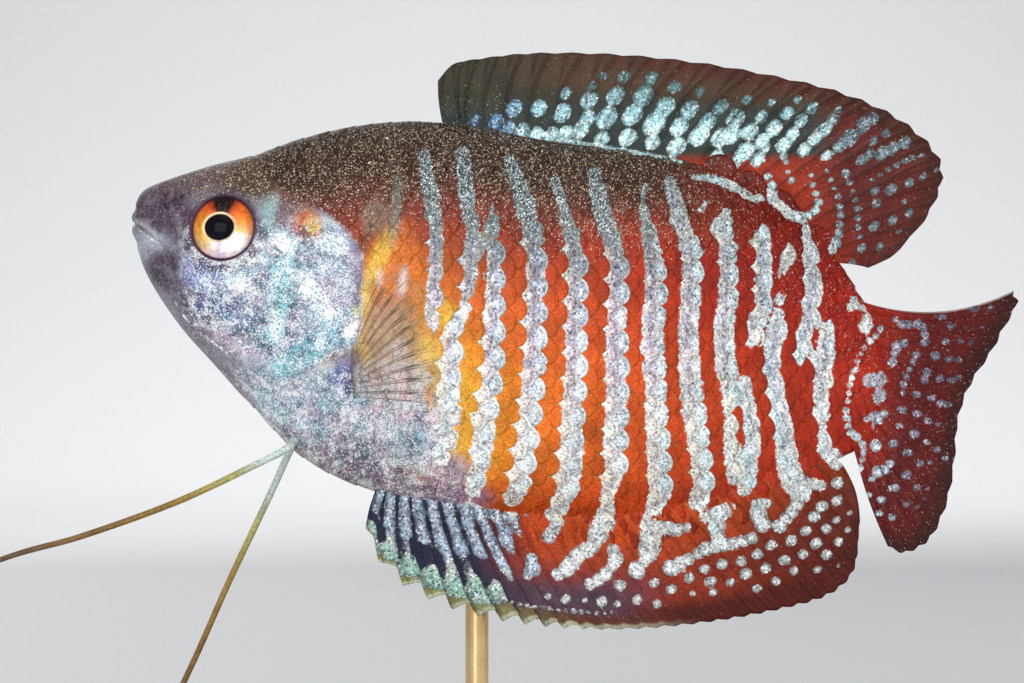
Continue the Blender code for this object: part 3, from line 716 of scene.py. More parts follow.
MARBLING = [
    [(16.6, 59.7, 0.26), (18.4, 59.4, 0.38), (20.3, 58.7, 0.38), (21.4, 57.9, 0.34), (22.3, 57.8, 0.3)],
    [(22.8, 59.8, 0.34), (23.2, 58.9, 0.43), (23.3, 57.8, 0.47), (24.2, 57, 0.38), (24.8, 56.4, 0.43),
     (25.8, 56.2, 0.47), (26.8, 56.5, 0.43), (27.3, 57.3, 0.38), (27.1, 58.1, 0.34), (26.7, 59, 0.3),
     (26.6, 59.8, 0.26)],
    [(24.4, 61.1, 0.3), (24.6, 60.2, 0.26), (24.9, 59.3, 0.34)],
    [(27.9, 60.3, 0.26), (28.4, 59.1, 0.26), (28.9, 58, 0.3), (29.1, 56.8, 0.34), (29.1, 55.6, 0.38),
     (28.9, 54.3, 0.51), (28.5, 53.6, 0.51)],
    [(29.5, 60.1, 0.43), (29.9, 59.2, 0.34), (30.3, 58, 0.21), (30.6, 57, 0.34), (30.6, 55.5, 0.3),
     (30.8, 54.4, 0.26)],
    [(17.7, 57.5, 0.26), (17.2, 56.9, 0.26)],
    [(12.4, 58.8, 0.3), (12.2, 57.7, 0.21)],
    [(29.8, 48.4, 0.3), (30.2, 49.1, 0.34), (30.6, 48.6, 0.26), (31.2, 48.4, 0.3)],
    [(31.5, 47.5, 0.56), (31.2, 46.8, 0.56)],
    [(9.4, 32.1, 0.43), (9.1, 31, 0.77), (8.7, 29.8, 0.85), (8.2, 28.9, 0.68), (7.7, 27.9, 0.6),
     (6.6, 27.3, 0.6), (5.8, 26.2, 0.6), (4.8, 25.6, 0.43)],
    [(9.6, 26.5, 0.43), (8.9, 25.5, 0.51), (7.5, 24.8, 0.43)],
    [(12.6, 30.8, 0.34), (12.4, 30.2, 0.26)],
    [(12.6, 29.7, 0.6), (14.1, 29.7, 0.6), (15.2, 29.6, 0.51), (16.1, 29.7, 0.34)],
    [(13, 29.2, 0.94), (12.8, 28.2, 0.85), (12.6, 27.2, 0.6), (12.2, 26.7, 0.43)],
    [(11.7, 26.2, 0.64), (11.6, 25.6, 0.6)],
    [(9.6, 27.9, 0.43), (9.9, 27.2, 0.6), (9.9, 26.4, 0.43)],
    [(17.4, 30.6, 0.43), (18.6, 30.9, 0.6), (19.7, 31.3, 0.51)],
    [(18.5, 30.2, 0.68), (18.5, 29.3, 0.51), (18.7, 28.5, 0.6)],
    [(14.5, 26.2, 0.6), (15.4, 26.6, 0.51), (16.2, 27.1, 0.43)],
    [(16.8, 27.4, 0.34), (17.6, 27.9, 0.51), (18.8, 28.2, 0.51), (20.3, 28.4, 0.43), (21.5, 28.8, 0.43)],
    [(22.9, 31.8, 0.34), (22.1, 31.6, 0.6), (22, 30.9, 0.6), (22.3, 30.2, 0.6), (22.6, 29.5, 0.51)],
    [(23.8, 29.7, 0.51), (24.4, 30.4, 0.43), (25.1, 31.3, 0.47), (25.6, 32, 0.51)],
    [(4.2, 30.9, 0.43), (5, 30.2, 0.43), (4.3, 29.3, 0.51), (4, 28.5, 0.51)],
    [(2.6, 27.1, 0.43), (2.9, 26.4, 0.6), (2.4, 25.6, 0.34)],
    [(0.5, 29.5, 0.51), (0.6, 28.1, 0.51)],
    [(-2.7, 31.6, 0.43), (-1.7, 31, 0.43), (-0.3, 30.7, 0.43), (1.3, 30.6, 0.34)],
]
# A dot is its x, height and radius.
ANAL_DOTS = [
    (17.5, 26.2, 0.43), (19, 26.5, 0.47), (20.6, 26.8, 0.47), (22, 27.4, 0.47), (23.2, 28.2, 0.47),
    (24.9, 28.6, 0.47), (26.1, 29.4, 0.47), (26.8, 30.6, 0.51), (27.5, 31.5, 0.51), (28.8, 32, 0.47),
    (28.8, 33.5, 0.51), (16.2, 25.4, 0.47), (18, 25.1, 0.47), (19.7, 25, 0.38), (21, 25.7, 0.51),
    (22.7, 26.2, 0.47), (24.3, 26.9, 0.47), (25.9, 27.4, 0.43), (27, 28.4, 0.51), (27.9, 29.6, 0.43),
    (28.7, 30.3, 0.34), (29.9, 31, 0.26), (16.5, 24.1, 0.3), (18.2, 24.2, 0.34), (22, 24.5, 0.38),
    (23.6, 25.1, 0.38), (25.1, 26, 0.38), (27.1, 26.1, 0.34), (27.9, 27.4, 0.43), (28.9, 28.5, 0.38),
    (29.7, 29.5, 0.3), (28.9, 26.4, 0.17), (9, 25.6, 0.56), (10.3, 24.8, 0.47), (13.2, 25, 0.43),
    (14.6, 24.4, 0.43), (11.7, 23.5, 0.43), (13.4, 23.2, 0.38), (10, 23.2, 0.34), (8.7, 23.4, 0.47),
    (5.6, 23.6, 0.43), (4.1, 23.9, 0.3), (7.2, 23.5, 0.26),
]
ANAL_RIM = [[(-1.6, 24.1, 0.2), (1, 23.3, 0.22), (4, 22.8, 0.22), (7, 22.5, 0.2), (10, 22.4, 0.15)]]
ROOT_CHAIN = [
    [(32.6, 46.8, 0.24), (32, 45.9, 0.24), (30.9, 44.8, 0.15), (30.3, 43.2, 0.3), (29.9, 41.6, 0.22),
     (29.7, 40.2, 0.3), (29.6, 39, 0.32), (29.8, 37.9, 0.3), (30.8, 37.2, 0.36), (31.1, 36.4, 0.3),
     (30.9, 35.4, 0.2), (30.6, 34.4, 0.36)],
]
TAIL_MARKS = [
    [(33.7, 47.6, 0.26), (34.4, 47, 0.38), (35.2, 47.1, 0.34), (36, 47.2, 0.38), (36.4, 46.5, 0.3),
     (36.3, 45.5, 0.38)],
    [(34.7, 45.5, 0.34), (33.9, 45.2, 0.43), (33.7, 44.4, 0.34), (33.4, 43.4, 0.47)],
    [(31.6, 42.2, 0.6), (32.5, 42.4, 0.6)],
    [(32.3, 41.8, 0.3), (32.5, 40.8, 0.6)],
    [(31.4, 39, 0.34), (32.8, 39.4, 0.34)],
    [(32.2, 39.1, 0.43), (32.2, 38.4, 0.43)],
    [(32, 36.8, 0.47), (32.5, 36.4, 0.47)],
    [(32.1, 34.4, 0.47), (32.8, 34.6, 0.38), (33.6, 35.4, 0.38)],
    [(35.7, 44.6, 0.34), (35, 43.3, 0.26), (34.5, 41.9, 0.3), (34.4, 41.1, 0.26)],
    [(37.3, 44.5, 0.38), (36.9, 44, 0.38)],
    [(36.6, 43.1, 0.38), (36.1, 41.9, 0.38)],
    [(38.6, 47, 0.3), (38.2, 46.4, 0.3)],
]
TAIL_DOTS = [
    (33.6, 36.9, 0.47), (31.8, 33.8, 0.3), (34.3, 39.8, 0.43), (34.1, 38.4, 0.38), (35.6, 41.1, 0.43),
    (35.6, 39.4, 0.43), (35.4, 37.7, 0.47), (34.8, 36.1, 0.47), (34.7, 34.2, 0.43), (33.7, 33.1, 0.47),
    (32.6, 32.1, 0.38), (31.5, 32.5, 0.34), (32.4, 30.9, 0.34), (33.5, 30.6, 0.38), (34.7, 31.7, 0.34),
    (35.6, 33.1, 0.34), (36.5, 33, 0.26), (36.2, 32.2, 0.26), (35.6, 31.5, 0.21), (38.4, 44.1, 0.38),
    (39.2, 44, 0.34), (37.6, 42.4, 0.38), (38.5, 42.3, 0.34), (39.1, 42.6, 0.26), (36.9, 40.8, 0.38),
    (37.7, 40.3, 0.38), (38.3, 40.2, 0.34), (36.5, 38.8, 0.38), (37.4, 38.5, 0.26), (36.4, 37, 0.38),
    (37.3, 36.3, 0.34), (35.9, 35.2, 0.38), (36.7, 35.3, 0.3), (38, 35.6, 0.26), (37.8, 47.7, 0.38),
    (40.5, 48.4, 0.43), (41.9, 48.5, 0.34), (39.8, 46.8, 0.26), (41.2, 46.8, 0.26), (38.1, 45.6, 0.38),
    (39.4, 45.6, 0.3), (40.3, 45.5, 0.21),
]
DORSAL_DOTS = [
    (-2.1, 64.5, 0.51), (-0.3, 64.4, 0.68), (0.7, 63.8, 0.68), (1.9, 63.6, 0.68), (1.2, 65.5, 0.77),
    (3.3, 65.5, 0.77), (3.1, 63.3, 0.68), (4.4, 63.3, 0.68), (5.6, 63.4, 0.68), (5.3, 65.1, 0.85),
    (5.6, 66.8, 0.56), (6.9, 63.7, 0.77), (7.4, 64.6, 0.77), (7.6, 66.2, 0.81), (7.9, 67.4, 0.43),
    (8.8, 68.3, 0.43), (9.1, 64.7, 0.98), (9.9, 66.6, 0.85), (10.6, 68.2, 0.6), (8.7, 62.9, 0.68),
    (10.9, 63, 0.85), (11.3, 64.9, 0.94), (12.3, 66.6, 0.94), (13, 68.1, 0.6), (13.2, 64.2, 1.03),
    (14.1, 65.6, 0.94), (14.9, 67.3, 0.6), (13, 62.6, 0.68), (15.1, 62.3, 0.85), (15.3, 63.9, 0.85),
    (16.2, 65.4, 0.81), (18.8, 65.6, 0.68), (17.7, 64.4, 0.81), (20.1, 64.6, 0.9), (22.3, 64.8, 0.6),
    (17, 63.2, 0.94), (18.8, 63, 0.85), (19.7, 63.2, 0.85), (21.3, 63.5, 0.77), (23.4, 63.8, 0.73),
    (24.5, 65.1, 0.64), (25.7, 64.4, 0.64), (25, 63.3, 0.64), (22.4, 62.7, 0.68), (22.6, 62.1, 0.51),
    (24.2, 62.4, 0.68), (26, 62, 0.64), (26.7, 65.6, 0.51), (26.9, 63, 0.68), (27.8, 63.8, 0.68),
    (28.4, 64.5, 0.56), (29.1, 62.4, 0.68), (29.9, 63, 0.77), (31.1, 64.1, 0.73), (31.8, 64.6, 0.6),
    (27.9, 61.5, 0.51), (23.2, 66, 0.34), (25.4, 66.3, 0.38), (28.9, 65.4, 0.34), (21.1, 66.2, 0.43),
    (33, 63.4, 0.38), (31.9, 62.7, 0.43), (31.6, 61.6, 0.43), (30.9, 61.1, 0.51), (32.7, 61.7, 0.68),
    (33.6, 62.1, 0.6), (34.6, 62.6, 0.6), (17.1, 67, 0.43), (18.5, 61.4, 0.68), (20.9, 61.8, 0.85),
    (22, 61.1, 0.68), (20.1, 60.9, 0.6), (24.2, 61.4, 0.38), (32, 58.5, 0.43), (32.2, 57.4, 0.43),
    (33.4, 58.6, 0.51), (35, 59.2, 0.43), (36.2, 59.7, 0.34), (32, 55.5, 0.51), (33.6, 56, 0.47),
    (35, 56.6, 0.38), (34.6, 57.6, 0.26), (30.9, 53.5, 0.43), (32.5, 53.7, 0.34), (30.1, 52.3, 0.34),
    (34.1, 55, 0.26), (37.3, 60.3, 0.26),
]
DORSAL_ROOT = [
    [(-1.6, 63.9, 0.0), (1.5, 63.4, 0.2), (5.0, 62.8, 0.2), (8.0, 62.4, 0.15), (12.0, 61.7, 0.12),
     (15.5, 61.0, 0.1)],
]
DORSAL_OVAL = ((0.62, 0.78), 0.79, 0.30)
DORSAL_WEB = (0.036, 0.034, 0.018)
DORSAL_SHINE = (0.48, 0.72, 0.72)
DORSAL_LINE = [
    [(31.7, 59.3, 0.17), (32.8, 60.1, 0.26), (34.1, 60.8, 0.3), (35.3, 61.3, 0.3), (36.5, 61.7, 0.26)],
]
print("strokes on the flank:", len(STRIPES) + len(MARBLING))
print("dots on the fins:", len(DORSAL_DOTS + ANAL_DOTS + TAIL_DOTS))

# %% [markdown]
# ## Colours of the body
# The ground under the pale rows runs from yellow-orange low behind the gill cover to deep scarlet at
# the tail, and darkens to speckled brown along the back. The head is a silvery mosaic of lilac,
# turquoise and white. These rules give the colours at any point of the side view, so that the skin
# and the scales that lie on it always agree.

# %% Ground and shine of the flank
def blend(a, b, share):
    """Colours a turned into colour b by a share at each point."""
    share = np.asarray(share)[..., None]
    return a * (1 - share) + np.array(b) * share


def ovals(dots, lean, width, stretch):
    """Strokes for dots drawn out along a fin's rays: each keeps a share of its width and gets a length."""
    strokes = []
    for x, z, w in dots:
        dx, dz = lean[0] * w * stretch, lean[1] * w * stretch
        strokes.append([(x - dx, z - dz, w * width), (x + dx, z + dz, w * width)])
    return strokes


def beaded(strokes, pitch=0.85, width=1.0):
    """Turns strokes into chains of touching dots, as the marks on the fins look."""
    dots = []
    for stroke in strokes:
        rows = np.array(stroke)
        gone = np.concatenate([[0], np.cumsum(np.hypot(*np.diff(rows[:, :2], axis=0).T))])
        for d in np.arange(0.2 * pitch, gone[-1] + 0.1, pitch):
            x, z, w = (float(np.interp(d, gone, rows[:, i])) for i in range(3))
            dots.append([(x, z, w * width)])
    return dots


ROOT_BEADS = beaded(ROOT_CHAIN, 0.7, 1.2)
RED_TO_GOLD = [
    (0.0, 0.82, 0.040, 0.014), (0.25, 0.82, 0.070, 0.015), (0.5, 0.84, 0.125, 0.018),
    (0.7, 0.86, 0.20, 0.022), (0.85, 0.91, 0.38, 0.03), (1.0, 0.94, 0.64, 0.08),
]
LIT_DOWN = [(28, 0.40), (32, 0.72), (35.5, 0.94), (39, 1), (43, 1), (49, 0.76), (52.5, 0.55), (56, 0.40)]
BACK_TONES = [
    (0.0, 0.034, 0.019, 0.011), (0.33, 0.052, 0.022, 0.012), (0.48, 0.12, 0.026, 0.012),
    (0.7, 0.27, 0.035, 0.012), (0.85, 0.42, 0.045, 0.012),
]
FLANK_PATCHES = [
    (-9.3, 51.4, 2.6, 4.6, -8, (0.78, 0.22, 0.025), 0.9),
    (-11.5, 54.2, 0.6, 1.8, -10, (0.16, 0.06, 0.04), 0.6),
    (-10.2, 52.9, 0.85, 3.2, -22, (0.76, 0.50, 0.07), 1.0),
    (-11.4, 49.9, 0.65, 2.3, -6, (0.76, 0.58, 0.15), 0.9),
    (-8.3, 50.7, 0.42, 1.5, -6, (0.88, 0.84, 0.80), 0.95),
    (-10.3, 51.0, 0.3, 1.0, -10, (0.86, 0.80, 0.70), 0.8),
    (-10.6, 56.2, 1.4, 1.8, 0, (0.22, 0.22, 0.15), 0.6),
    (-6.2, 44.6, 1.2, 1.5, 20, (0.92, 0.68, 0.12), 0.9),
    (-4.5, 47.8, 1.0, 1.6, 25, (0.92, 0.60, 0.07), 0.85),
    (-8.9, 57.0, 0.5, 3.4, -4, (0.15, 0.23, 0.19), 0.75),
    (-9.5, 46.2, 2.6, 3.4, 0, (0.56, 0.42, 0.30), 0.8),
    (-9.0, 41.2, 3.4, 4.0, 0, (0.78, 0.74, 0.70), 0.9),
    (-8.7, 45.0, 0.8, 0.9, 20, (0.88, 0.86, 0.82), 0.85),
    (-6.6, 38.4, 2.6, 3.2, 0, (0.74, 0.70, 0.72), 0.95),
    (-5.9, 41.6, 0.55, 2.4, -4, (0.86, 0.42, 0.05), 0.9),
    (-7.4, 36.3, 2.8, 2.2, -15, (0.38, 0.57, 0.60), 0.9),
    (-17.0, 40.5, 9.5, 5.0, -25, (0.50, 0.60, 0.64), 1.0),
    (-13.6, 41.2, 2.6, 2.6, 0, (0.46, 0.66, 0.68), 0.8),
    (-18.5, 39.6, 2.6, 1.6, -35, (0.44, 0.66, 0.66), 0.8),
    (-23.5, 42.0, 3.4, 2.4, -45, (0.30, 0.27, 0.34), 0.9),
    (-11.2, 37.2, 4.4, 2.6, -25, (0.48, 0.56, 0.56), 0.9),
    (-12.5, 34.8, 6.0, 2.0, -18, (0.22, 0.19, 0.24), 0.9),
    (-5.5, 32.4, 4.6, 1.9, -8, (0.34, 0.30, 0.38), 0.75),
    (-4.4, 34.6, 2.6, 1.5, -10, (0.56, 0.44, 0.50), 0.85),
    (-2.6, 32.6, 2.2, 1.0, -8, (0.38, 0.20, 0.30), 0.8),
    (-5.8, 31.2, 5.0, 1.2, -8, (0.13, 0.14, 0.27), 0.95),
    (-12.9, 43.4, 1.3, 2.7, 8, (0.12, 0.05, 0.17), 0.95),
    (-13.6, 42.6, 1.0, 1.6, 8, (0.10, 0.16, 0.42), 0.8),
]
DORSAL_FOOT = [
    # the seen line where the back ends and the dorsal fin begins: x and height
    (-5.5, 64.9), (-4.6, 64.5), (-1.3, 63.9), (2.5, 63.0), (8.0, 62.2), (11.8, 61.5), (15.1, 60.6),
    (18.0, 60.4), (22.0, 60.8),
]
SHINE_TONES = [
    (28.0, 0.70, 0.74, 0.74), (34.0, 0.97, 0.92, 0.88), (42.0, 0.90, 0.84, 0.85),
    (48.0, 0.70, 0.65, 0.68), (52.0, 0.36, 0.35, 0.35), (56.0, 0.10, 0.12, 0.105),
    (60.0, 0.05, 0.07, 0.06), (64.0, 0.04, 0.05, 0.035),
]

HEAD_BASE = (0.42, 0.46, 0.52)


def flank_ground(x, z):
    """Ground colour of the flank in the side view."""
    warm = 0.95 - 0.0235 * (x + 6) + 0.04 * step(2, -4, x) - 0.028 * np.clip(z - 42, 0, None)
    lit = np.interp(z, *zip(*LIT_DOWN)) * (1 - 0.5 * step(0, 28, x))
    colour = tones(RED_TO_GOLD, np.clip(warm, 0, 1) * (0.6 + 0.4 * step(29, 36, z))) * lit[..., None]
    back_depth = np.interp(x, (-12, 4, 16, 28), (12.5, 12.0, 8.5, 4.5))
    deep = np.clip((station_at(x)[0] - z) / back_depth, 0, 1)
    share = step(0.98, 0.62, deep) * step(25, 13, x)
    colour = blend(colour, np.minimum(tones(BACK_TONES, deep), colour + 0.03), share)
    colour = blend(colour, (0.20, 0.03, 0.014), 0.35 * step(10, 20, x) * share)
    return paint(colour, FLANK_PATCHES, x, z)


def over_foot(x, z):
    """How far a point lies over the line where the dorsal fin begins."""
    foot = np.array(DORSAL_FOOT)
    past = z - np.interp(x, foot[:, 0], foot[:, 1])
    return np.where((x > foot[0, 0]) & (x < foot[-1, 0]), past, -1.0)


def flank_shine(x, z):
    """Colour of the pale rows: near white low in front, teal grey towards the back and the tail."""
    colour = tones(SHINE_TONES, z)
    colour = blend(colour, (1.0, 0.97, 0.88), 0.8 * step(4, -6, x) * step(50, 40, z))
    colour = blend(colour, (0.66, 0.72, 0.70), 0.75 * step(9, 22, x))
    return blend(colour, (0.32, 0.28, 0.38), 0.8 * step(30.2, 31.3, x) * step(46.0, 44.5, z))


def flank_glint(x, z):
    """How many bright specks a place has: most on the back, few on the red."""
    deep = station_at(x)[0] - z
    streak = 0.5 * np.exp(-(((x + 8.9) / 0.55) ** 2)) * step(52.5, 54.5, z)
    return np.clip(0.72 * step(12.0, 4.5, deep) * (0.25 + 0.75 * step(22, 8, x)) + 0.03 + streak, 0, 1)


print("ground behind the gill cover:", flank_ground(np.array([-10.0]), np.array([52.0])).round(2)[0])

# %% Ground and marks of the head
HEAD_PATCHES = [
    (-19.0, 60.2, 8.5, 2.9, 12, (0.085, 0.045, 0.03), 1.0),
    (-16.6, 58.2, 3.4, 1.6, 0, (0.13, 0.04, 0.03), 0.95),
    (-27.0, 59.0, 4.5, 1.8, 22, (0.10, 0.055, 0.06), 0.9),
    (-29.2, 56.6, 3.4, 2.6, 0, (0.055, 0.024, 0.048), 0.95),
    (-26.9, 55.2, 1.6, 2.6, 0, (0.07, 0.03, 0.065), 0.9),
    (-30.0, 54.9, 2.0, 0.55, -37, (0.42, 0.42, 0.46), 0.75),
    (-28.4, 51.6, 2.6, 2.6, 10, (0.075, 0.052, 0.08), 1.0),
    (-27.0, 48.6, 1.6, 2.4, 18, (0.11, 0.085, 0.12), 1.0),
    (-25.4, 51.8, 2.0, 2.2, 30, (0.30, 0.34, 0.58), 0.9),
    (-24.4, 48.6, 2.4, 1.6, 15, (0.10, 0.15, 0.32), 0.95),
    (-21.8, 47.4, 1.8, 1.3, 0, (0.18, 0.30, 0.44), 0.85),
    (-25.3, 46.9, 1.6, 1.5, 25, (0.15, 0.095, 0.14), 0.9),
    (-22.2, 45.3, 2.6, 1.1, -25, (0.55, 0.44, 0.53), 0.8),
    (-19.8, 55.7, 0.95, 2.7, -12, (0.27, 0.45, 0.45), 0.9),
    (-18.8, 50.2, 1.1, 4.5, -9, (0.40, 0.74, 0.74), 1.0),
    (-19.2, 46.6, 1.0, 1.9, -6, (0.62, 0.82, 0.82), 0.9),
    (-20.9, 54.0, 0.9, 1.7, 28, (0.58, 0.66, 0.60), 0.75),
    (-17.3, 55.3, 0.9, 1.6, 0, (0.22, 0.12, 0.16), 0.8),
    (-18.3, 56.3, 1.2, 1.4, 0, (0.14, 0.075, 0.085), 0.9),
    (-16.4, 55.6, 1.35, 1.6, 15, (0.58, 0.13, 0.025), 0.95),
    (-15.9, 55.4, 0.8, 1.1, 15, (0.88, 0.48, 0.09), 0.95),
    (-14.5, 55.4, 0.6, 0.8, 0, (0.40, 0.56, 0.56), 0.7),
    (-14.9, 52.2, 2.3, 2.2, 0, (0.55, 0.57, 0.63), 0.75),
    (-15.0, 49.0, 2.4, 2.0, 0, (0.58, 0.60, 0.68), 0.8),
    (-18.4, 53.9, 1.3, 1.3, 0, (0.96, 0.98, 0.98), 1.0),
    (-16.3, 50.4, 1.25, 1.3, 0, (0.96, 0.98, 0.98), 1.0),
    (-14.7, 47.9, 1.1, 1.1, 0, (0.96, 0.97, 0.98), 1.0),
    (-14.4, 53.8, 1.7, 1.2, -15, (0.96, 0.97, 0.98), 0.95),
    (-22.2, 50.4, 1.2, 1.0, 0, (0.94, 0.97, 0.98), 0.95),
    (-12.6, 46.6, 1.1, 1.0, 30, (0.90, 0.92, 0.90), 0.85),
    (-12.3, 48.3, 0.5, 0.5, 0, (0.86, 0.78, 0.25), 0.8),
    (-15.8, 45.3, 2.9, 1.5, 32, (0.16, 0.50, 0.56), 1.0),
    (-17.7, 43.8, 2.4, 1.2, 20, (0.26, 0.55, 0.60), 0.9),
    (-14.0, 44.3, 1.4, 0.7, 30, (0.42, 0.34, 0.30), 0.6),
]
HEAD_MARKS = [
    [(-18.5, 53.9, 0.55)], [(-16.2, 50.5, 0.5), (-16.5, 50.1, 0.4)], [(-14.7, 48.0, 0.4)],
    [(-14.6, 53.9, 0.2)], [(-13.1, 46.2, 0.4), (-12.3, 47.0, 0.25)],
    [(-12.15, 54.0, 0.03), (-11.98, 52.4, 0.05)], [(-22.1, 50.3, 0.3)],
    [(-19.4, 46.4, 0.3), (-19.0, 45.7, 0.2)], [(-21.0, 52.6, 0.2)],
    [(-29.0, 51.2, -0.08), (-27.2, 48.0, -0.06), (-25.6, 46.3, -0.02), (-23.8, 45.0, 0.03),
     (-22.7, 43.9, -0.03)],
    [(-23.3, 44.7, 0.0), (-21.3, 45.2, 0.06), (-20.3, 45.9, -0.03)],
    [(-31.0, 55.2, -0.05), (-29.2, 54.0, 0.03), (-28.4, 53.4, -0.04)],
]
HEAD_EDGE = [
    (-23.5, 66.0), (-20.8, 61.0), (-18.0, 58.4), (-16.0, 57.2), (-14.6, 56.3), (-12.9, 54.8),
    (-12.0, 53.4), (-11.7, 52.1), (-11.85, 50.0), (-11.8, 47.6), (-12.05, 46.0), (-13.0, 44.7),
    (-14.6, 43.9), (-16.6, 43.1), (-19.0, 42.3), (-21.5, 41.6), (-23.8, 40.4), (-26.0, 37.0),
]


def within(outline, x, z):
    """Depth inside a closed outline in mm, negative outside."""
    rows = np.array(outline, float)
    after = np.roll(rows, -1, axis=0)
    inside = np.zeros(np.shape(x), bool)
    nearest = np.full(np.shape(x), 99.0)
    for (ax, az), (bx, bz) in zip(rows, after):
        f = np.clip(((x - ax) * (bx - ax) + (z - az) * (bz - az)) / ((bx - ax) ** 2 + (bz - az) ** 2), 0, 1)
        nearest = np.minimum(nearest, np.hypot(x - ax - f * (bx - ax), z - az - f * (bz - az)))
        if az != bz:
            inside ^= ((az > z) != (bz > z)) & (x < ax + (z - az) / (bz - az) * (bx - ax))
    return np.where(inside, nearest, -nearest)


def path_of(rows, steps=60):
    return smooth(rows, np.linspace(0, 1, steps))


HEAD_OUTLINE = np.vstack([path_of(HEAD_EDGE), [(-45, 37), (-45, 66)]])


def head_ground(x, z):
    colour = paint(np.zeros(np.shape(x) + (3,)) + np.array(HEAD_BASE), HEAD_PATCHES, x, z)
    under = step(49.5, 47.0, z + (x + 27) * 0.85) * step(-19, -22, x)
    return blend(colour, (0.24, 0.22, 0.26), under)


def silver_share(x, z):
    """How strongly silvery blotches show: on cheek, gill cover and breast, not on the brown nape."""
    cheek = step(-28.2, -25.5, x) * step(57.0, 54.5, z) * step(43.0, 46.0, z + (x + 22) * 0.5)
    breast = step(-2.6, -5.5, x + 0.25 * (z - 36)) * step(44.5, 42.5, z) * step(-26, -20, x)
    snout = 0.1 * step(-20, -25, x) * step(59.8, 57.5, z)
    head = np.maximum(cheek * (within(HEAD_OUTLINE, x, z) > 0), snout)
    return np.clip(np.maximum(head, 0.9 * breast), 0, 1)


def body_ground(x, z):
    """Ground colour, and the head's share of it: sharp at the gill cover and soft at the throat."""
    inside = within(HEAD_OUTLINE, x, z)
    soft = step(46.0, 43.8, z)
    head = step(-0.05, 0.05, inside) * (1 - soft) + step(-1.8, 1.2, inside) * soft
    return blend(flank_ground(x, z), head_ground(x, z), head), head


print("inside the head:", within(HEAD_OUTLINE, np.array([-20.0, -5.0]), np.array([50.0, 50.0])).round(1))

# %% [markdown]
# ## Skin
# One skin runs from the lips to the tail with no seams. It starts as a UV sphere whose poles become
# the tip of the snout and the end of the tail, and whose rings are crowded on the head, where the
# detail is. Then the features are pressed in or raised along the skin's own direction: mouth and
# lips, nostrils, the rim of the eye socket, the bones of the cheek, and the gill cover, whose rear
# edge stands over the flank like a flap. Under the scales it lies a little deeper.

# %% Features of the head
EYE_AT = (-23.4, 55.2)
EYE_SUNK = 1.0
MOUTH = [(-33.0, 56.2), (-31.2, 55.6), (-30.0, 54.9), (-28.9, 53.9)]
NOSTRILS = [(-28.3, 57.1, 0.30), (-26.9, 57.9, 0.24)]
BONES = [
    # path, half width, height
    ([(-17.4, 54.8), (-17.4, 51.5), (-17.6, 48.5), (-18.6, 46.4), (-20.2, 45.2), (-22.2, 44.7)],
     0.15, -0.17),
    ([(-18.3, 54.6), (-18.4, 51.5), (-18.6, 48.9), (-19.6, 47.2), (-21.2, 46.1)], 0.65, 0.13),
    ([(-28.2, 52.4), (-27.2, 49.6), (-25.8, 47.0), (-24.0, 45.2), (-22.2, 44.3)], 0.15, -0.14),
    ([(-28.9, 53.9), (-28.2, 52.8), (-27.9, 51.6)], 0.16, -0.16),
    ([(-27.6, 53.6), (-26.3, 51.9), (-24.0, 50.9), (-21.6, 51.4), (-20.2, 52.9)], 0.2, -0.07),
    ([(-17.2, 46.4), (-15.2, 46.0), (-13.4, 46.4), (-12.3, 47.3)], 0.15, -0.12),
    ([(-16.9, 53.6), (-14.6, 53.2), (-12.4, 52.2)], 0.55, 0.08),
    ([(-16.9, 51.2), (-14.4, 50.2), (-12.4, 49.4)], 0.55, 0.07),
    ([(-16.9, 49.2), (-14.8, 47.8), (-13.0, 47.2)], 0.45, 0.06),
    ([(-20.6, 57.6), (-18.4, 57.9), (-16.4, 57.7)], 0.35, -0.08),
    ([(-28.9, 58.6), (-28.5, 56.6), (-28.7, 54.6)], 0.18, -0.12),
    ([(-26.9, 58.2), (-24.8, 58.9), (-22.4, 58.9), (-20.6, 57.8)], 0.4, 0.10),
]
SCALE_BED = 0.22
GILL_FLAP = 0.34


def away_from(path, x, z):
    """Distance to a path in the side view."""
    away = np.full(np.shape(x), 99.0)
    rows = path_of(path, 24)
    for (ax, az), (bx, bz) in zip(rows[:-1], rows[1:]):
        f = np.clip(((x - ax) * (bx - ax) + (z - az) * (bz - az)) / ((bx - ax) ** 2 + (bz - az) ** 2), 0, 1)
        away = np.minimum(away, np.hypot(x - ax - f * (bx - ax), z - az - f * (bz - az)))
    return away


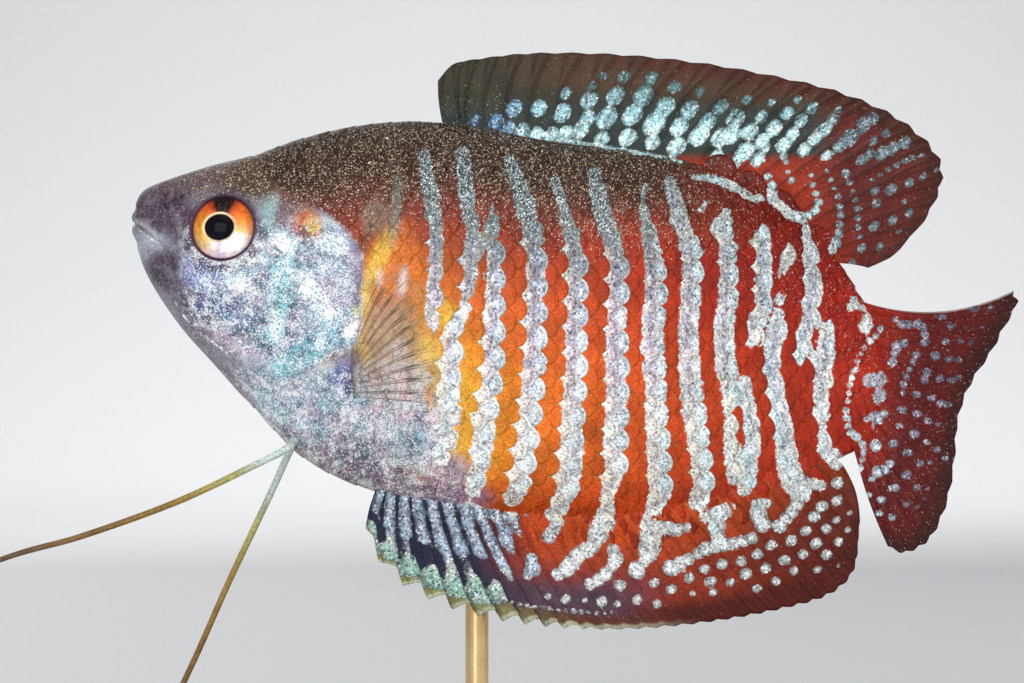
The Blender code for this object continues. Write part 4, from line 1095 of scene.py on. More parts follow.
def relief(x, z, seen_x, seen_z):
    """Height of the skin over the plain body: features raised or pressed in, in mm."""
    height = np.zeros(x.shape)
    fine = (x < -9) & (z > 38)
    for path, width, rise in BONES:
        away = away_from(path, seen_x[fine], seen_z[fine])
        height[fine] += rise * np.exp(-((away / width) ** 2))
    inside = within(HEAD_OUTLINE, seen_x, seen_z)
    flap = step(-19.5, -15.5, seen_x) * step(59.0, 57.0, seen_z)
    throat = step(46.0, 43.8, seen_z)
    bed = step(0.12, -0.1, inside) * (1 - throat) + step(0.4, -3.4, inside) * throat
    height += GILL_FLAP * step(-0.02, 0.14, inside) * flap * (1 - 0.55 * step(0, 5, inside))
    height -= SCALE_BED * bed * step(31.5, 29.5, x) * step(0.3, -0.6, over_foot(seen_x, seen_z))
    height -= 0.05 * np.exp(-(((inside - 0.75) / 0.22) ** 2)) * flap
    away = away_from(MOUTH, x, z)
    lips = 0.17 * np.exp(-(((away - 0.55) / 0.45) ** 2)) - 0.20 * np.exp(-((away / 0.15) ** 2))
    height += (lips - 0.07 * np.exp(-(((away - 1.3) / 0.25) ** 2))) * step(-28.6, -30.2, x)
    for nx, nz, size in NOSTRILS:
        away = np.hypot(x - nx, z - nz)
        height += 0.10 * np.exp(-(((away - size * 1.25) / 0.12) ** 2)) - 0.3 * step(size, size * 0.45, away)
    return height

# %% Skin mesh
AROUND, RINGS = 256, 384
RING_ROWS = [
    (0, 0), (26, 3), (50, 4), (78, 5), (108, 6), (144, 7), (184, 8), (228, 9), (248, 10), (384, 20),
]


def make_skin():
    put_down()
    bpy.ops.mesh.primitive_uv_sphere_add(segments=AROUND, ring_count=RINGS, radius=1, location=(0, 0, 0))
    skin = bpy.context.object
    skin.name = "skin"
    ball = points_of(skin)
    ring = np.arccos(np.clip(ball[:, 2], -1, 1)) / math.pi * RINGS
    rows = np.array(RING_ROWS, float)
    along = np.interp(ring, rows[:, 0], rows[:, 1]) / (len(BODY_STATIONS) - 1)
    x = smooth([(r[0],) for r in BODY_STATIONS], along)[:, 0]
    angle = np.arctan2(ball[:, 1], ball[:, 0])
    angle = np.where(ring < 0.5, 0, np.where(ring > RINGS - 0.5, 0, angle))
    up, low = arc_at(x)
    travelled = np.abs(angle) / math.pi * (up + low)
    n = np.where(travelled < up, (up - travelled) / up, -(travelled - up) / np.maximum(low, 1e-6))
    place = on_body(x, n, np.where(angle < 0, -1, 1))
    put_points(skin, place * MM)
    flat = np.empty(len(place) * 3)
    skin.data.vertex_normals.foreach_get("vector", flat)
    out = flat.reshape(-1, 3)
    if (out[:, 1] * place[:, 1]).sum() < 0:
        out = -out
    seen = as_seen(place)
    place = place + out * relief(place[:, 0], place[:, 2], *seen)[:, None]
    for side in (-1, 1):
        place = press_socket(place, side)
    put_points(skin, place * MM)
    outward(skin)
    return skin


def eye_frame(side):
    """Centre of an eyeball, the way it looks, and its tailward and upward directions."""
    point, out = skin_point(*EYE_AT, side)
    centre = point - out * EYE_SUNK
    up = np.array((0, 0, 1.0)) - out * out[2]
    up /= np.linalg.norm(up)
    return centre, out, np.array((1.0, 0, 0)) - out * out[0] - up * up[0], up


SOCKET = [
    (0.0, -0.9), (2.45, -0.9), (2.64, 0.10), (2.79, 0.58), (2.93, 0.80), (3.1, 0.95), (3.4, 1.2),
    (4.0, 2.5),
]


def press_socket(place, side):
    """Presses the skin down to the eyeball, with a soft raised rim round it."""
    centre, out, tail, up = eye_frame(side)
    near = (place[:, 1] * side > 0.5) & (np.linalg.norm(place - centre, axis=1) < 4.4)
    rel = place[near] - centre
    across, high = rel @ tail, rel @ up
    r, h = np.hypot(across, high), rel @ out
    rim = 0.10 * np.exp(-(((r - 3.18) / 0.2) ** 2)) - 0.08 * np.exp(-(((r - 3.65) / 0.2) ** 2))
    limit = np.interp(r, [a for a, b in SOCKET], [b for a, b in SOCKET])
    place = place.copy()
    place[near] += out * (np.minimum(h + rim, limit) - h)[:, None]
    return place


skin = make_skin()
print("skin:", len(skin.data.polygons), "faces", [round(d / MM, 2) for d in skin.dimensions])

# %% Skin colours
BODY_MARKS = STRIPES + MARBLING + ROOT_BEADS + TAIL_MARKS[:6]


def colour_skin(piece):
    place = points_of(piece) / MM
    x, z = as_seen(place)
    inside = within(HEAD_OUTLINE, x, z)
    ground, head = body_ground(x, z)
    rim = step(1.3, 0.3, inside) * step(-0.02, 0.1, inside) * step(-14.6, -13.2, x)
    rim = rim * step(48.0, 50.5, z) * step(55.5, 52.5, z)
    rim_tone = blend(np.array((0.24, 0.16, 0.26)), (0.26, 0.11, 0.34), step(51.0, 53.0, z))
    ground = blend(ground, rim_tone, 0.7 * rim)
    for side in (-1, 1):
        centre, out, tail, up = eye_frame(side)
        rel = place - centre
        r = np.hypot(rel @ tail, rel @ up) + np.where(place[:, 1] * side > 0, 0, 99)
        ground = blend(ground, (0.085, 0.045, 0.085), 0.85 * step(3.85, 3.05, r + 0.35 * (rel @ up) / 3))
    # Painted shade: the cleft of the mouth is darkened.
    mouth_shade = step(0.2, 0.04, away_from(MOUTH, place[:, 0], place[:, 2])) * step(-28.9, -30.2, place[:, 0])
    ground = blend(ground, (0.04, 0.022, 0.03), 0.6 * mouth_shade)
    # Painted shade: the nostril pits are darkened.
    for nx, nz, size in NOSTRILS:
        nostril_shade = step(size, size * 0.5, np.hypot(place[:, 0] - nx, place[:, 2] - nz))
        ground = blend(ground, (0, 0, 0), 0.4 * nostril_shade)
    fin = step(-0.15, 0.15, over_foot(x, z))
    ground = blend(ground, DORSAL_WEB, fin * step(17, 14, x))
    mark = np.where(inside > 0, depth_in(HEAD_MARKS, x, z), depth_in(BODY_MARKS, x, z))
    mark = np.where(fin > 0.5, depth_in(DORSAL_ROOT + ovals(DORSAL_DOTS, *DORSAL_OVAL), x, z), mark)
    shine = blend(blend(flank_shine(x, z), (0.86, 0.89, 0.88), head), DORSAL_SHINE, fin)
    nape = step(55.5, 59.0, z + 0.2 * (x + 20)) * head
    glint = flank_glint(x, z) * (1 - head) + (0.62 * nape + 0.13) * head
    lay_colours(piece, {"ground": ground, "shine": shine, "mark": mark, "glint": glint,
                        "mottle": silver_share(x, z) * (1 - 0.6 * rim)})


colour_skin(skin)
skin.data.materials.append(skin_finish)
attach(skin, "root")
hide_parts("head", "gill_cover_left", "gill_cover_right", "trunk", "tail_stem")
print("skin coloured")

# %% [markdown]
# ## Unpaired fins
# A fin is a thin membrane stretched over rays. The rays stand out on both faces as ridges, and past
# half their length they fork into finer ones. Each fin starts as a flat grid: across it run the
# rays, and along it each ray from root to tip. The grid's points are placed in the side view, and
# Solidify makes it as thick at each point as the vertex group says. Its root is sunk in the flesh.

# %% Fin rays and membranes
def mix(a, b, t):
    return a + (b - a) * t


def bent(root, tip, t, bow):
    """Points on rays from root to tip that bow to their rear."""
    along = tip - root
    lift = (bow * 4 * t * (1 - t))[:, None]
    return mix(root, tip, t[:, None]) + np.stack([-along[:, 1], along[:, 0]], 1) * lift


def forked(across, t, first=0.42, second=0.7, width=0.11):
    """Height of the ray ridges, 0 to 1: across counts rays, t runs from root to tip."""
    off = across - np.round(across)
    one = 0.19 * step(first, 1.0, t)
    two = 0.10 * step(second, 1.1, t)
    thin = width * (1 - 0.35 * step(first, 1.0, t))
    ridge = np.zeros(off.shape)
    for a in (-1, 1):
        for b in (-1, 1):
            ridge = np.maximum(ridge, np.exp(-(((off - a * one - b * two) / thin) ** 2)))
    return ridge


def layered(start, layers):
    """A colour at each point: a first one, and others laid over it by their share at each point."""
    colour = np.zeros((len(layers[0][1]), 3)) + np.array(start)
    for tone, share in layers:
        colour = blend(colour, tone, share)
    return colour


def counted(s, count):
    """The number of the ray at each point, and how far the point is from the nearest ray, up to 1."""
    rays = s * (count - 1)
    return rays, 2 * np.abs(rays - np.round(rays))


def thicken(piece, ridge, base):
    """Solidifies a grid: base gives the membrane's thickness in mm and ridge adds the rays."""
    thick = base * (1 + 1.3 * ridge)
    most = float(thick.max())
    shell = piece.vertex_groups.new(name="thickness")
    for i, w in enumerate(thick / most):
        shell.add([i], float(w), "REPLACE")
    solid = piece.modifiers.new("Solidify", "SOLIDIFY")
    solid.thickness, solid.offset, solid.vertex_group = most * MM, 0, "thickness"


def new_grid(name, columns, rows):
    """A flat grid and its two ways, both from 0 to 1."""
    put_down()
    bpy.ops.mesh.primitive_grid_add(x_subdivisions=columns, y_subdivisions=rows, size=2, location=(0, 0, 0))
    piece = bpy.context.object
    piece.name = name
    flat = points_of(piece)
    return piece, (flat[:, 0] + 1) / 2, (flat[:, 1] + 1) / 2


def finish_web(piece, node, colours, finish):
    lay_colours(piece, colours)
    apply_all(piece)
    outward(piece)
    piece.data.materials.append(finish)
    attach(piece, "root")
    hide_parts(node)
    return piece


fin_finish = living_surface("fin_web", rough=0.42, bite=0.36, rays=((0.022, 0.014, 0.012), 0.6))
print("fin finish:", fin_finish.name)

# %% [markdown]
# The dorsal fin is smoky brown with a field of turquoise ovals, and its drawn-out rear lobe is wine
# red. The anal fin starts blue-black between notched spines and turns red. The tail fin is wine red.

# %% Dorsal fin
DORSAL_RAYS = 25
DORSAL_SHAPE = [
    # number of the ray, x of its root, x and height of its tip
    (0, -5, -5.3, 67.9), (0.7, -3.6, -4.2, 69.2), (2.4, -2.6, -1.8, 69.8), (4.8, 1.7, 3, 70.3),
    (7.2, 6.8, 9.7, 70.2), (9.6, 12, 16.7, 69.5), (12, 17.1, 23.5, 68.3), (14.4, 20.9, 29.5, 66.8),
    (16.8, 24.2, 34.6, 64.4), (19.2, 26.6, 37.8, 60.9), (21.6, 28.2, 36.9, 56.8),
    (23.2, 28.9, 33.6, 52.9), (24, 29.2, 31.5, 51.9),
]
FIN_WAVE = 0.35


def dorsal_colours(x, z, t):
    ground = layered(DORSAL_WEB, [
        ((0.075, 0.035, 0.014), step(0.5, 0.8, t) * step(-2, 6, x)),
        ((0.030, 0.046, 0.040), step(67.0, 64.5, z) * step(30, 26, x) * 0.8),
        ((0.32, 0.030, 0.010), step(61.9, 60.9, z) * step(13, 16, x) * step(30.5, 28, x)),
        ((0.12, 0.017, 0.012), step(26, 30, x) * step(68, 64.5, z)),
        ((0.075, 0.017, 0.009), step(0.80, 0.95, t) * step(4, 16, x)),
        ((0.28, 0.028, 0.010), step(58, 53, z) * step(0.6, 0.1, t)),
    ])
    crest = z + 0.25 * np.abs(x - 10) * (x > 10)
    shine = layered(DORSAL_SHINE, [
        ((0.24, 0.44, 0.47), step(63.2, 65.0, z)),
        ((0.07, 0.18, 0.36), step(3.5, -1.0, x)),
        ((0.17, 0.23, 0.25), step(27, 30, x)),
        ((0.075, 0.17, 0.16), step(65.8, 68.2, crest) * step(24, 18, x)),
    ])
    marks = beaded(DORSAL_LINE + MARBLING[:6], 0.8, 0.95) + DORSAL_ROOT + ovals(DORSAL_DOTS, *DORSAL_OVAL)
    glint = 0.06 + 0.12 * step(0.7, 0.3, t) * step(6, -2, x)
    return {"ground": ground, "shine": shine, "mark": depth_in(marks, x, z), "glint": glint}


def make_dorsal():
    piece, s, t = new_grid("dorsal_web", 24 * 12, 52)
    root_x, tip_x, tip_z = through(DORSAL_SHAPE, s * (DORSAL_RAYS - 1)).T
    rays, between = counted(s, DORSAL_RAYS)
    ridge = forked(rays, t, 0.5, 0.78)
    reach = mix(-0.24 + 0.08 * s, 1 - 0.03 * between * (0.4 + 0.6 * s), t)
    root = np.stack([root_x, station_at(root_x)[0] + 0.3], 1)
    flat = bent(root, np.stack([tip_x, tip_z], 1), reach, 0.03 + 0 * s)
    y = FIN_WAVE * np.sin(s * 9) * np.clip(reach, 0, 1)
    put_points(piece, np.stack([flat[:, 0], y, flat[:, 1]], 1) * MM)
    base = mix(0.26, 0.16, t) + 0.85 * step(0.3, 0.02, t)
    thicken(piece, ridge * step(0.1, 0.3, t), base)
    colours = dorsal_colours(flat[:, 0], flat[:, 1], t)
    colours["ridge"] = ridge * step(0.02, 0.2, t)
    return finish_web(piece, "dorsal_fin", colours, fin_finish)


dorsal = make_dorsal()
print("dorsal fin:", len(dorsal.data.polygons), "faces")

# %% Anal fin
ANAL_RAYS = 31
ANAL_SHAPE = [
    (0, -10.8, -11.5, 29.6), (1, -9.9, -10.4, 26.8), (2, -8.8, -8.3, 24.7), (4, -6.4, -4, 22.7),
    (7, -2.4, 2.2, 21.4), (12, 4.4, 10.2, 21), (17, 11, 18, 21.6), (22, 17.5, 25, 22.9),
    (25, 21.6, 28.6, 24.2), (27, 24.6, 30.3, 26.2), (30, 29, 30.7, 30.4),
]
ANAL_NOTCH = 1.45
NOTCHED_PART = 0.36


def anal_colours(x, z, t, s):
    ground = layered((0.31, 0.034, 0.011), [
        ((0.60, 0.085, 0.015), step(0.62, 0.2, t) * step(0, 5, x)),
        ((0, 0, 0), 0.6 * step(12, 28, x)),
        ((0.09, 0.045, 0.07), step(0.5, 0.75, t) * step(16, 9, x)),
        ((0.020, 0.021, 0.048), step(3.5, -3.0, x - 2.2 * (t - 0.5))),
        ((0.085, 0.010, 0.006), step(0.74, 0.92, t) * step(8, 16, x)),
        ((0.12, 0.030, 0.012), step(0.86, 0.94, t) * step(18, 8, x)),
        ((0.24, 0.24, 0.09), step(0.84, 0.95, t) * step(8, -2, x)),
        ((0.60, 0.62, 0.44), step(0.955, 0.985, t) * step(18, 8, x) * 0.8),
    ])
    shine = layered(0.82 * flank_shine(x, np.full(len(x), 30.0)), [
        ((0.36, 0.44, 0.55), step(7, 1, x) * step(0.72, 0.55, t)),
        ((0.24, 0.41, 0.33), step(4, -2, x) * step(0.6, 0.8, t)),
    ])
    marbling = beaded(MARBLING[9:], 0.8, 1.25) + beaded(ANAL_RIM, 0.66)
    mark = depth_in(marbling + STRIPES + ovals(ANAL_DOTS, (0.8, 0.6), 0.9, 0.2), x, z)
    rays = s * (ANAL_RAYS - 1)
    broken = 0.36 + 0.36 * np.sin(rays * 2.1 + 0.8) - 0.4 * step(5, 9, rays)
    wedge = 0.36 - 0.95 * np.abs((rays % 1) - 0.55) - broken * step(0.50, 0.58, t) * step(0.74, 0.68, t)
    wedge = wedge + 0.2 * step(0.72, 0.78, t) * step(0.92, 0.87, t)
    spines = step(3.2, -0.5, x - 0.25 * (z - 27)) * step(0.98, 0.92, t) * step(-0.05, 0.08, t)
    behind = mark * step(-3, 2, x) - 1 * (x < -3)
    columns = wedge * spines - 0.4 * (1 - spines)
    mark = np.where(spines > 0.02, np.maximum(behind, columns), mark)
    return {"ground": ground, "shine": shine, "mark": mark, "glint": np.full(len(x), 0.04)}


def make_anal():
    piece, s, t = new_grid("anal_web", 30 * 12, 46)
    root_x, tip_x, tip_z = through(ANAL_SHAPE, s * (ANAL_RAYS - 1)).T
    rays, between = counted(s, ANAL_RAYS)
    spine = np.clip(1 - s / NOTCHED_PART, 0, 1)
    notch = np.minimum((rays % 1) / 0.8, (1 - rays % 1) / 0.2)
    tip_z = tip_z + ANAL_NOTCH * spine**0.7 * notch
    ridge = forked(rays, t, mix(0.55, 1.2, spine), 0.8)
    reach = mix(-0.22, 1 - 0.02 * between, t)
    root = np.stack([root_x, station_at(root_x)[1] - 0.3], 1)
    flat = bent(root, np.stack([tip_x, tip_z], 1), reach, -0.03 + 0.12 * step(0.9, 1.0, s))
    y = FIN_WAVE * np.sin(s * 10 + 1) * np.clip(reach, 0, 1)
    put_points(piece, np.stack([flat[:, 0], y, flat[:, 1]], 1) * MM)
    base = mix(0.26, 0.16, t) + 0.85 * step(0.48, 0.10, t)
    thicken(piece, ridge * step(0.1, 0.3, t), base)
    colours = anal_colours(flat[:, 0], flat[:, 1], t, s)
    colours["ridge"] = ridge * step(0.05, 0.3, t) * 0.8
    return finish_web(piece, "anal_fin", colours, fin_finish)


anal = make_anal()
print("anal fin:", len(anal.data.polygons), "faces")

# %% Tail fin
CAUDAL_RAYS = 16
CAUDAL_SHAPE = [
    # height of the ray's root, x and height of its tip
    (49.3, 43.9, 49.9), (48.4, 44.3, 48.9), (47.2, 43.2, 46.8), (46.1, 42.1, 44.7), (45.1, 40.7, 42.6),
    (44.1, 39.7, 40.6), (43.1, 39.1, 38.3), (42.1, 38.9, 35.9), (41.1, 38.5, 33.1), (40.2, 37.8, 30.7),
    (39.3, 36.8, 28.8), (38.4, 35.7, 27.9), (37.6, 34.4, 27.5), (36.8, 33.2, 28.1),
]
CAUDAL_BOWS = [-0.11, 0, 0, -0.03]


def tail_colours(x, z, t, s):
    ground = layered((0.11, 0.009, 0.008), [
        ((0.38, 0.024, 0.011), step(0.62, 0.12, t)),
        ((0.045, 0.009, 0.008), step(0.80, 0.97, t)),
        ((0.45, 0.34, 0.28), step(0.012, 0.004, s) * 0.7),
    ])
    shine = layered((0.60, 0.70, 0.76), [
        ((0.27, 0.24, 0.33), step(31.5, 35, x)),
        ((0.13, 0.10, 0.15), step(35, 40, x)),
    ])
    marks = beaded(TAIL_MARKS, 0.7, 1.05) + ovals(TAIL_DOTS, (0.9, 0.1), 0.76, 0.25)
    marks = marks + ROOT_BEADS + STRIPES[-2:]
    return {"ground": ground, "shine": shine, "mark": depth_in(marks, x, z), "glint": np.full(len(x), 0.12)}


def make_tail():
    piece, s, t = new_grid("tail_web", 15 * 16, 60)
    root_z, tip_x, tip_z = smooth(CAUDAL_SHAPE, s).T
    bow = smooth([(b,) for b in CAUDAL_BOWS], s)[:, 0]
    rays, between = counted(s, CAUDAL_RAYS)
    ridge = forked(rays, t, 0.3, 0.6)
    reach = mix(-0.16, 1 - 0.02 * between, t)
    root_x = 29.5 + 1.0 * (1 - ((root_z - 43) / 8) ** 2) + 0.3
    flat = bent(np.stack([root_x, root_z], 1), np.stack([tip_x, tip_z], 1), reach, bow)
    y = FIN_WAVE * np.sin(s * 7) * np.clip(reach, 0, 1)
    put_points(piece, np.stack([flat[:, 0], y, flat[:, 1]], 1) * MM)
    base = mix(0.28, 0.16, t) + 1.5 * step(0.34, 0.02, t)
    thicken(piece, ridge * step(0.12, 0.34, t), base)
    colours = tail_colours(flat[:, 0], flat[:, 1], t, s)
    colours["ridge"] = ridge * step(0.15, 0.4, t) * 0.6
    return finish_web(piece, "caudal_fin", colours, fin_finish)


tail = make_tail()
print("tail fin:", len(tail.data.polygons), "faces")

# %% [markdown]
# ## Paired fins
# The pectoral fins are clear, with thin dark rays and a violet root. Their membrane is nearly
# transparent, so their finish lets light through between the rays.

# %% Clear finish and pectoral fins
PECTORAL_ROOT = [(-12.2, 44.6), (-12.0, 41.0)]
PECTORAL_TIPS = [
    (-8.8, 52.4, 1.6), (-6.6, 50.6, 2.4), (-5.0, 47.6, 3.0), (-4.5, 43.8, 3.0), (-5.0, 40.4, 2.4),
]
PECTORAL_RAYS = 12
CLEAR_RAY = (0.07, 0.035, 0.025)


def clear_web(name):
    """A thin clear film with dark rays: the film's colour and how much it hides come from the mesh."""
    material, tree, shader, where = new_finish(name, Roughness=0.35, Specular_IOR_Level=0.3)
    ray = ramp(tree, carried(tree, "ridge"), 0.2, 0.95)
    film = tinted(tree, carried(tree, "ground", "Color"),
                  ramp(tree, cloud(tree, where, 1500.0, 3.0), 0.3, 0.7, 0.75, 1.2))
    tree.links.new(blend_colours(tree, ray, film, CLEAR_RAY), shader.inputs["Base Color"])
    hides = ramp(tree, cloud(tree, where, 900.0, 2.0), 0.35, 0.65, 0.02, 0.11)
    hides = sum_node(tree, "MAXIMUM", hides, carried(tree, "mark"))
    tree.links.new(sum_node(tree, "MAXIMUM", hides, times(tree, ray, 0.7)), shader.inputs["Alpha"])
    return material


clear_finish = clear_web("clear_fin_web")


def make_pectoral(side):
    word = "left" if side < 0 else "right"
    piece, s, t = new_grid(f"pectoral_web_{word}", 10 * 14, 44)
    root = np.stack([mix(PECTORAL_ROOT[0][i], PECTORAL_ROOT[1][i], s) for i in (0, 1)], 1)
    tip_x, tip_z, out = smooth(PECTORAL_TIPS, s).T
    rays, between = counted(s, PECTORAL_RAYS)
    reach = mix(-0.10, 1 - 0.05 * between, t)
    flat = bent(root, np.stack([tip_x, tip_z], 1), reach, 0.06 * (1 - s))
    near = np.abs(on_body(root[:, 0], share_at(root[:, 0], root[:, 1]), 1)[:, 1])
    skin_y = np.abs(on_body(flat[:, 0], share_at(flat[:, 0], flat[:, 1]), 1)[:, 1])
    y = np.maximum(near + 0.75 + out * np.clip(reach, 0, 1) ** 0.8, skin_y + 0.75)
    y -= 1.7 * step(0.20, 0.0, t)
    put_points(piece, np.stack([flat[:, 0], side * y, flat[:, 1]], 1) * MM)
    ridge = forked(rays, t, 0.55, 1.2, 0.062) * (1 - 0.45 * step(0.55, 1.0, t))
    thicken(piece, ridge * step(0.08, 0.2, t), mix(0.13, 0.08, t) + 0.7 * step(0.2, 0.02, t))
    ground = layered((0.56, 0.42, 0.26), [
        ((0.50, 0.42, 0.28), step(0.55, 0.95, t)),
        ((0.13, 0.05, 0.16), step(0.16, 0.05, t)),
    ])
    cover = 0.9 * step(0.15, 0.06, t) + 0.07 * step(0.5, 0.1, s) * step(1.0, 0.5, t)
    colours = {"ground": ground, "shine": ground, "mark": cover, "ridge": ridge * step(0.08, 0.2, t)}
    return finish_web(piece, f"pectoral_fin_{word}", colours, clear_finish)


for side in (-1, 1):
    made = make_pectoral(side)
print("pectoral fin:", len(made.data.polygons), "faces")

# %% [markdown]
# ## Feelers
# The pelvic fins are drawn out into long threads with which the fish feels its way. Each is a grid
# rolled into a tapering tube along its path, and welded where its long edges meet.

# %% Feelers
FEELER_ROOT = (-17.5, 37.1)
FEELERS = {
    # x, distance from the middle plane and height of points on each thread
    "left": [(-20.2, 2.4, 35.4), (-27.2, 3.6, 32.1), (-35, 5, 29.3), (-41.9, 6.2, 27.3),
             (-53.4, 7.4, 22.3)],
    "right": [(-19.8, 2.5, 32.5), (-23.5, 3.6, 24.8), (-27.1, 4.6, 16.9), (-31.4, 5.4, 8.6), (-37, 6, 2.6)],
}
FEELER_RADII = [0.45, 0.36, 0.3, 0.27, 0.25, 0.15]
FEELER_TONES = [
    (0.0, 0.46, 0.60, 0.60), (0.42, 0.56, 0.68, 0.64), (0.48, 0.42, 0.42, 0.15), (0.56, 0.34, 0.22, 0.05),
    (0.7, 0.24, 0.13, 0.05), (0.85, 0.13, 0.085, 0.045), (1.0, 0.06, 0.042, 0.025),
]


def rolled(name, path, radii, around, rows):
    """A tube from a grid: rows along a path and columns around it, closed at both ends."""
    piece, s, t = new_grid(name, around, rows)
    path = np.array(path, float)
    along = np.gradient(path, axis=0)
    along /= np.linalg.norm(along, axis=1, keepdims=True)
    one = np.cross(along, (0, 1.0, 0))
    one /= np.linalg.norm(one, axis=1, keepdims=True)
    two = np.cross(along, one)
    key = t * (len(path) - 1)
    i = np.minimum(key.astype(int), len(path) - 2)
    f = (key - i)[:, None]

    def at(values):
        return values[i] * (1 - f) + values[i + 1] * f
    size = np.interp(t, np.linspace(0, 1, len(radii)), radii)
    size = size * np.sqrt(np.clip(1 - ((t - 0.5) * 2) ** 200, 0, 1))
    size[(t < 1e-6) | (t > 1 - 1e-6)] = 0
    turn = s * 2 * math.pi
    place = at(path) + size[:, None] * (np.cos(turn)[:, None] * at(one) + np.sin(turn)[:, None] * at(two))
    put_points(piece, place * MM)
    return piece, s, t


def weld(piece, gap=0.0005):
    pick_only(piece)
    bpy.ops.object.mode_set(mode="EDIT")
    bpy.ops.mesh.select_all(action="SELECT")
    bpy.ops.mesh.remove_doubles(threshold=gap * MM)
    bpy.ops.object.mode_set(mode="OBJECT")


def make_feeler(word, points):
    side = -1 if word == "left" else 1
    root, out = skin_point(*FEELER_ROOT, side)
    path = [tuple(root - out * 0.6), tuple(root + out * 0.3), tuple(root + out * 1.0)]
    path += [(x, side * y, z) for x, y, z in points]
    path = smooth(path, np.linspace(0, 1, 240))
    piece, s, t = rolled(f"feeler_thread_{word}", path, FEELER_RADII, 14, 260)
    ground = tones(FEELER_TONES, t)
    lay_colours(piece, {"ground": ground, "shine": ground, "glint": 0.9 * step(0.5, 0.35, t)})
    weld(piece)
    outward(piece)
    piece.data.materials.append(skin_finish)
    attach(piece, "root")
    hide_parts(f"pelvic_feeler_{word}")
    return piece


for word, points in FEELERS.items():
    made = make_feeler(word, points)
print("feeler:", len(made.data.polygons), "faces")

# %% [markdown]
# ## Eyes
# A fish has no lids. Its eye is a flattened ball set in a soft dark rim, with a broad ring of colour
# round a pupil through which the round lens bulges. The ball is a UV sphere turned to face outward
# and pressed to that profile.

# %% Eyeball profile and colours
EYE_PROFILE = [
    # distance from the middle, height towards the viewer
    (0.0, 1.44), (0.35, 1.42), (0.68, 1.35), (0.95, 1.23), (1.12, 1.10), (1.21, 0.98), (1.25, 0.93),
    (1.32, 0.95), (1.5, 0.97), (1.8, 0.94), (2.15, 0.85), (2.5, 0.69), (2.72, 0.50), (2.82, 0.28),
    (2.83, 0.0), (2.6, -0.5), (2.1, -0.95), (1.2, -1.2), (0.0, -1.25),
]
IRIS_RING = [
    # degrees from straight up, turning towards the tail: colour of the iris there
    (0, 0.012, 0.004, 0.004), (20, 0.020, 0.006, 0.005), (30, 0.50, 0.06, 0.010), (45, 0.80, 0.14, 0.015),
    (75, 0.86, 0.24, 0.03), (100, 0.90, 0.42, 0.16), (118, 0.95, 0.86, 0.80), (140, 0.97, 0.95, 0.93),
    (165, 0.92, 0.80, 0.84), (185, 0.70, 0.52, 0.62), (205, 0.86, 0.68, 0.62), (228, 0.90, 0.55, 0.22),
    (255, 0.90, 0.42, 0.06), (285, 0.86, 0.28, 0.03), (318, 0.78, 0.13, 0.015), (330, 0.42, 0.05, 0.010),
    (342, 0.020, 0.006, 0.005), (360, 0.012, 0.004, 0.004),
]
IRIS_PLATES = 11000.0


def eye_material():
    """Iris with fine flecks, and a glossy black lens."""
    material, tree, shader, where = new_finish("fish_eye", Specular_IOR_Level=0.05, Coat_Weight=0.05,
                                               Coat_Roughness=0.03)
    iris = carried(tree, "mark")
    mottled = ramp(tree, cloud(tree, where, 2600.0, 4.0, 0.65), 0.3, 0.7, 0.72, 1.18)
    gap = placed(tree, flakes, Place=where, Cells_per_metre=IRIS_PLATES).outputs["Gap"]
    fleck = times(tree, ramp(tree, gap, 0.6, 0.95), iris)
    ground = tinted(tree, carried(tree, "ground", "Color"), mottled)
    colour = blend_colours(tree, times(tree, fleck, 0.35), ground, carried(tree, "shine", "Color"))
    tree.links.new(colour, shader.inputs["Base Color"])
    tree.links.new(ramp(tree, iris, 0.2, 0.8, 0.05, 0.34), shader.inputs["Roughness"])
    tree.links.new(times(tree, iris, 0.3), shader.inputs["Metallic"])
    raise_bump(tree, shader, 0.25, 0.00004, times(tree, cloud(tree, where, 6000.0, 3.0), iris))
    return material


eye_finish = eye_material()


def eye_colours(across, high, r):
    """Colours over the front of the eye, with the pupil set a little towards the snout."""
    turn = np.degrees(np.arctan2(across, high)) % 360
    ground = tones(IRIS_RING, turn)
    outer = step(2.25, 2.75, r)
    red = step(0.35, 0.8, np.cos(np.radians(turn)) * 0.5 + 0.5)
    ground = blend(ground, ground * np.array((0.55, 0.4, 0.5)), 0.7 * outer * red)
    ground = blend(ground, (0.30, 0.10, 0.16), outer * (1 - red) * 0.45)
    inner = step(1.50, 1.36, r) * step(1.22, 1.30, r)
    ground = blend(ground, (0.93, 0.74, 0.48), inner * 0.85)
    ground = blend(ground, (0.05, 0.02, 0.04), step(2.66, 2.76, np.hypot(across, high * 1.04)))
    ground = blend(ground, (0.006, 0.005, 0.010), step(1.30, 1.20, r))
    iris = step(1.2, 1.3, r)
    return ground, iris


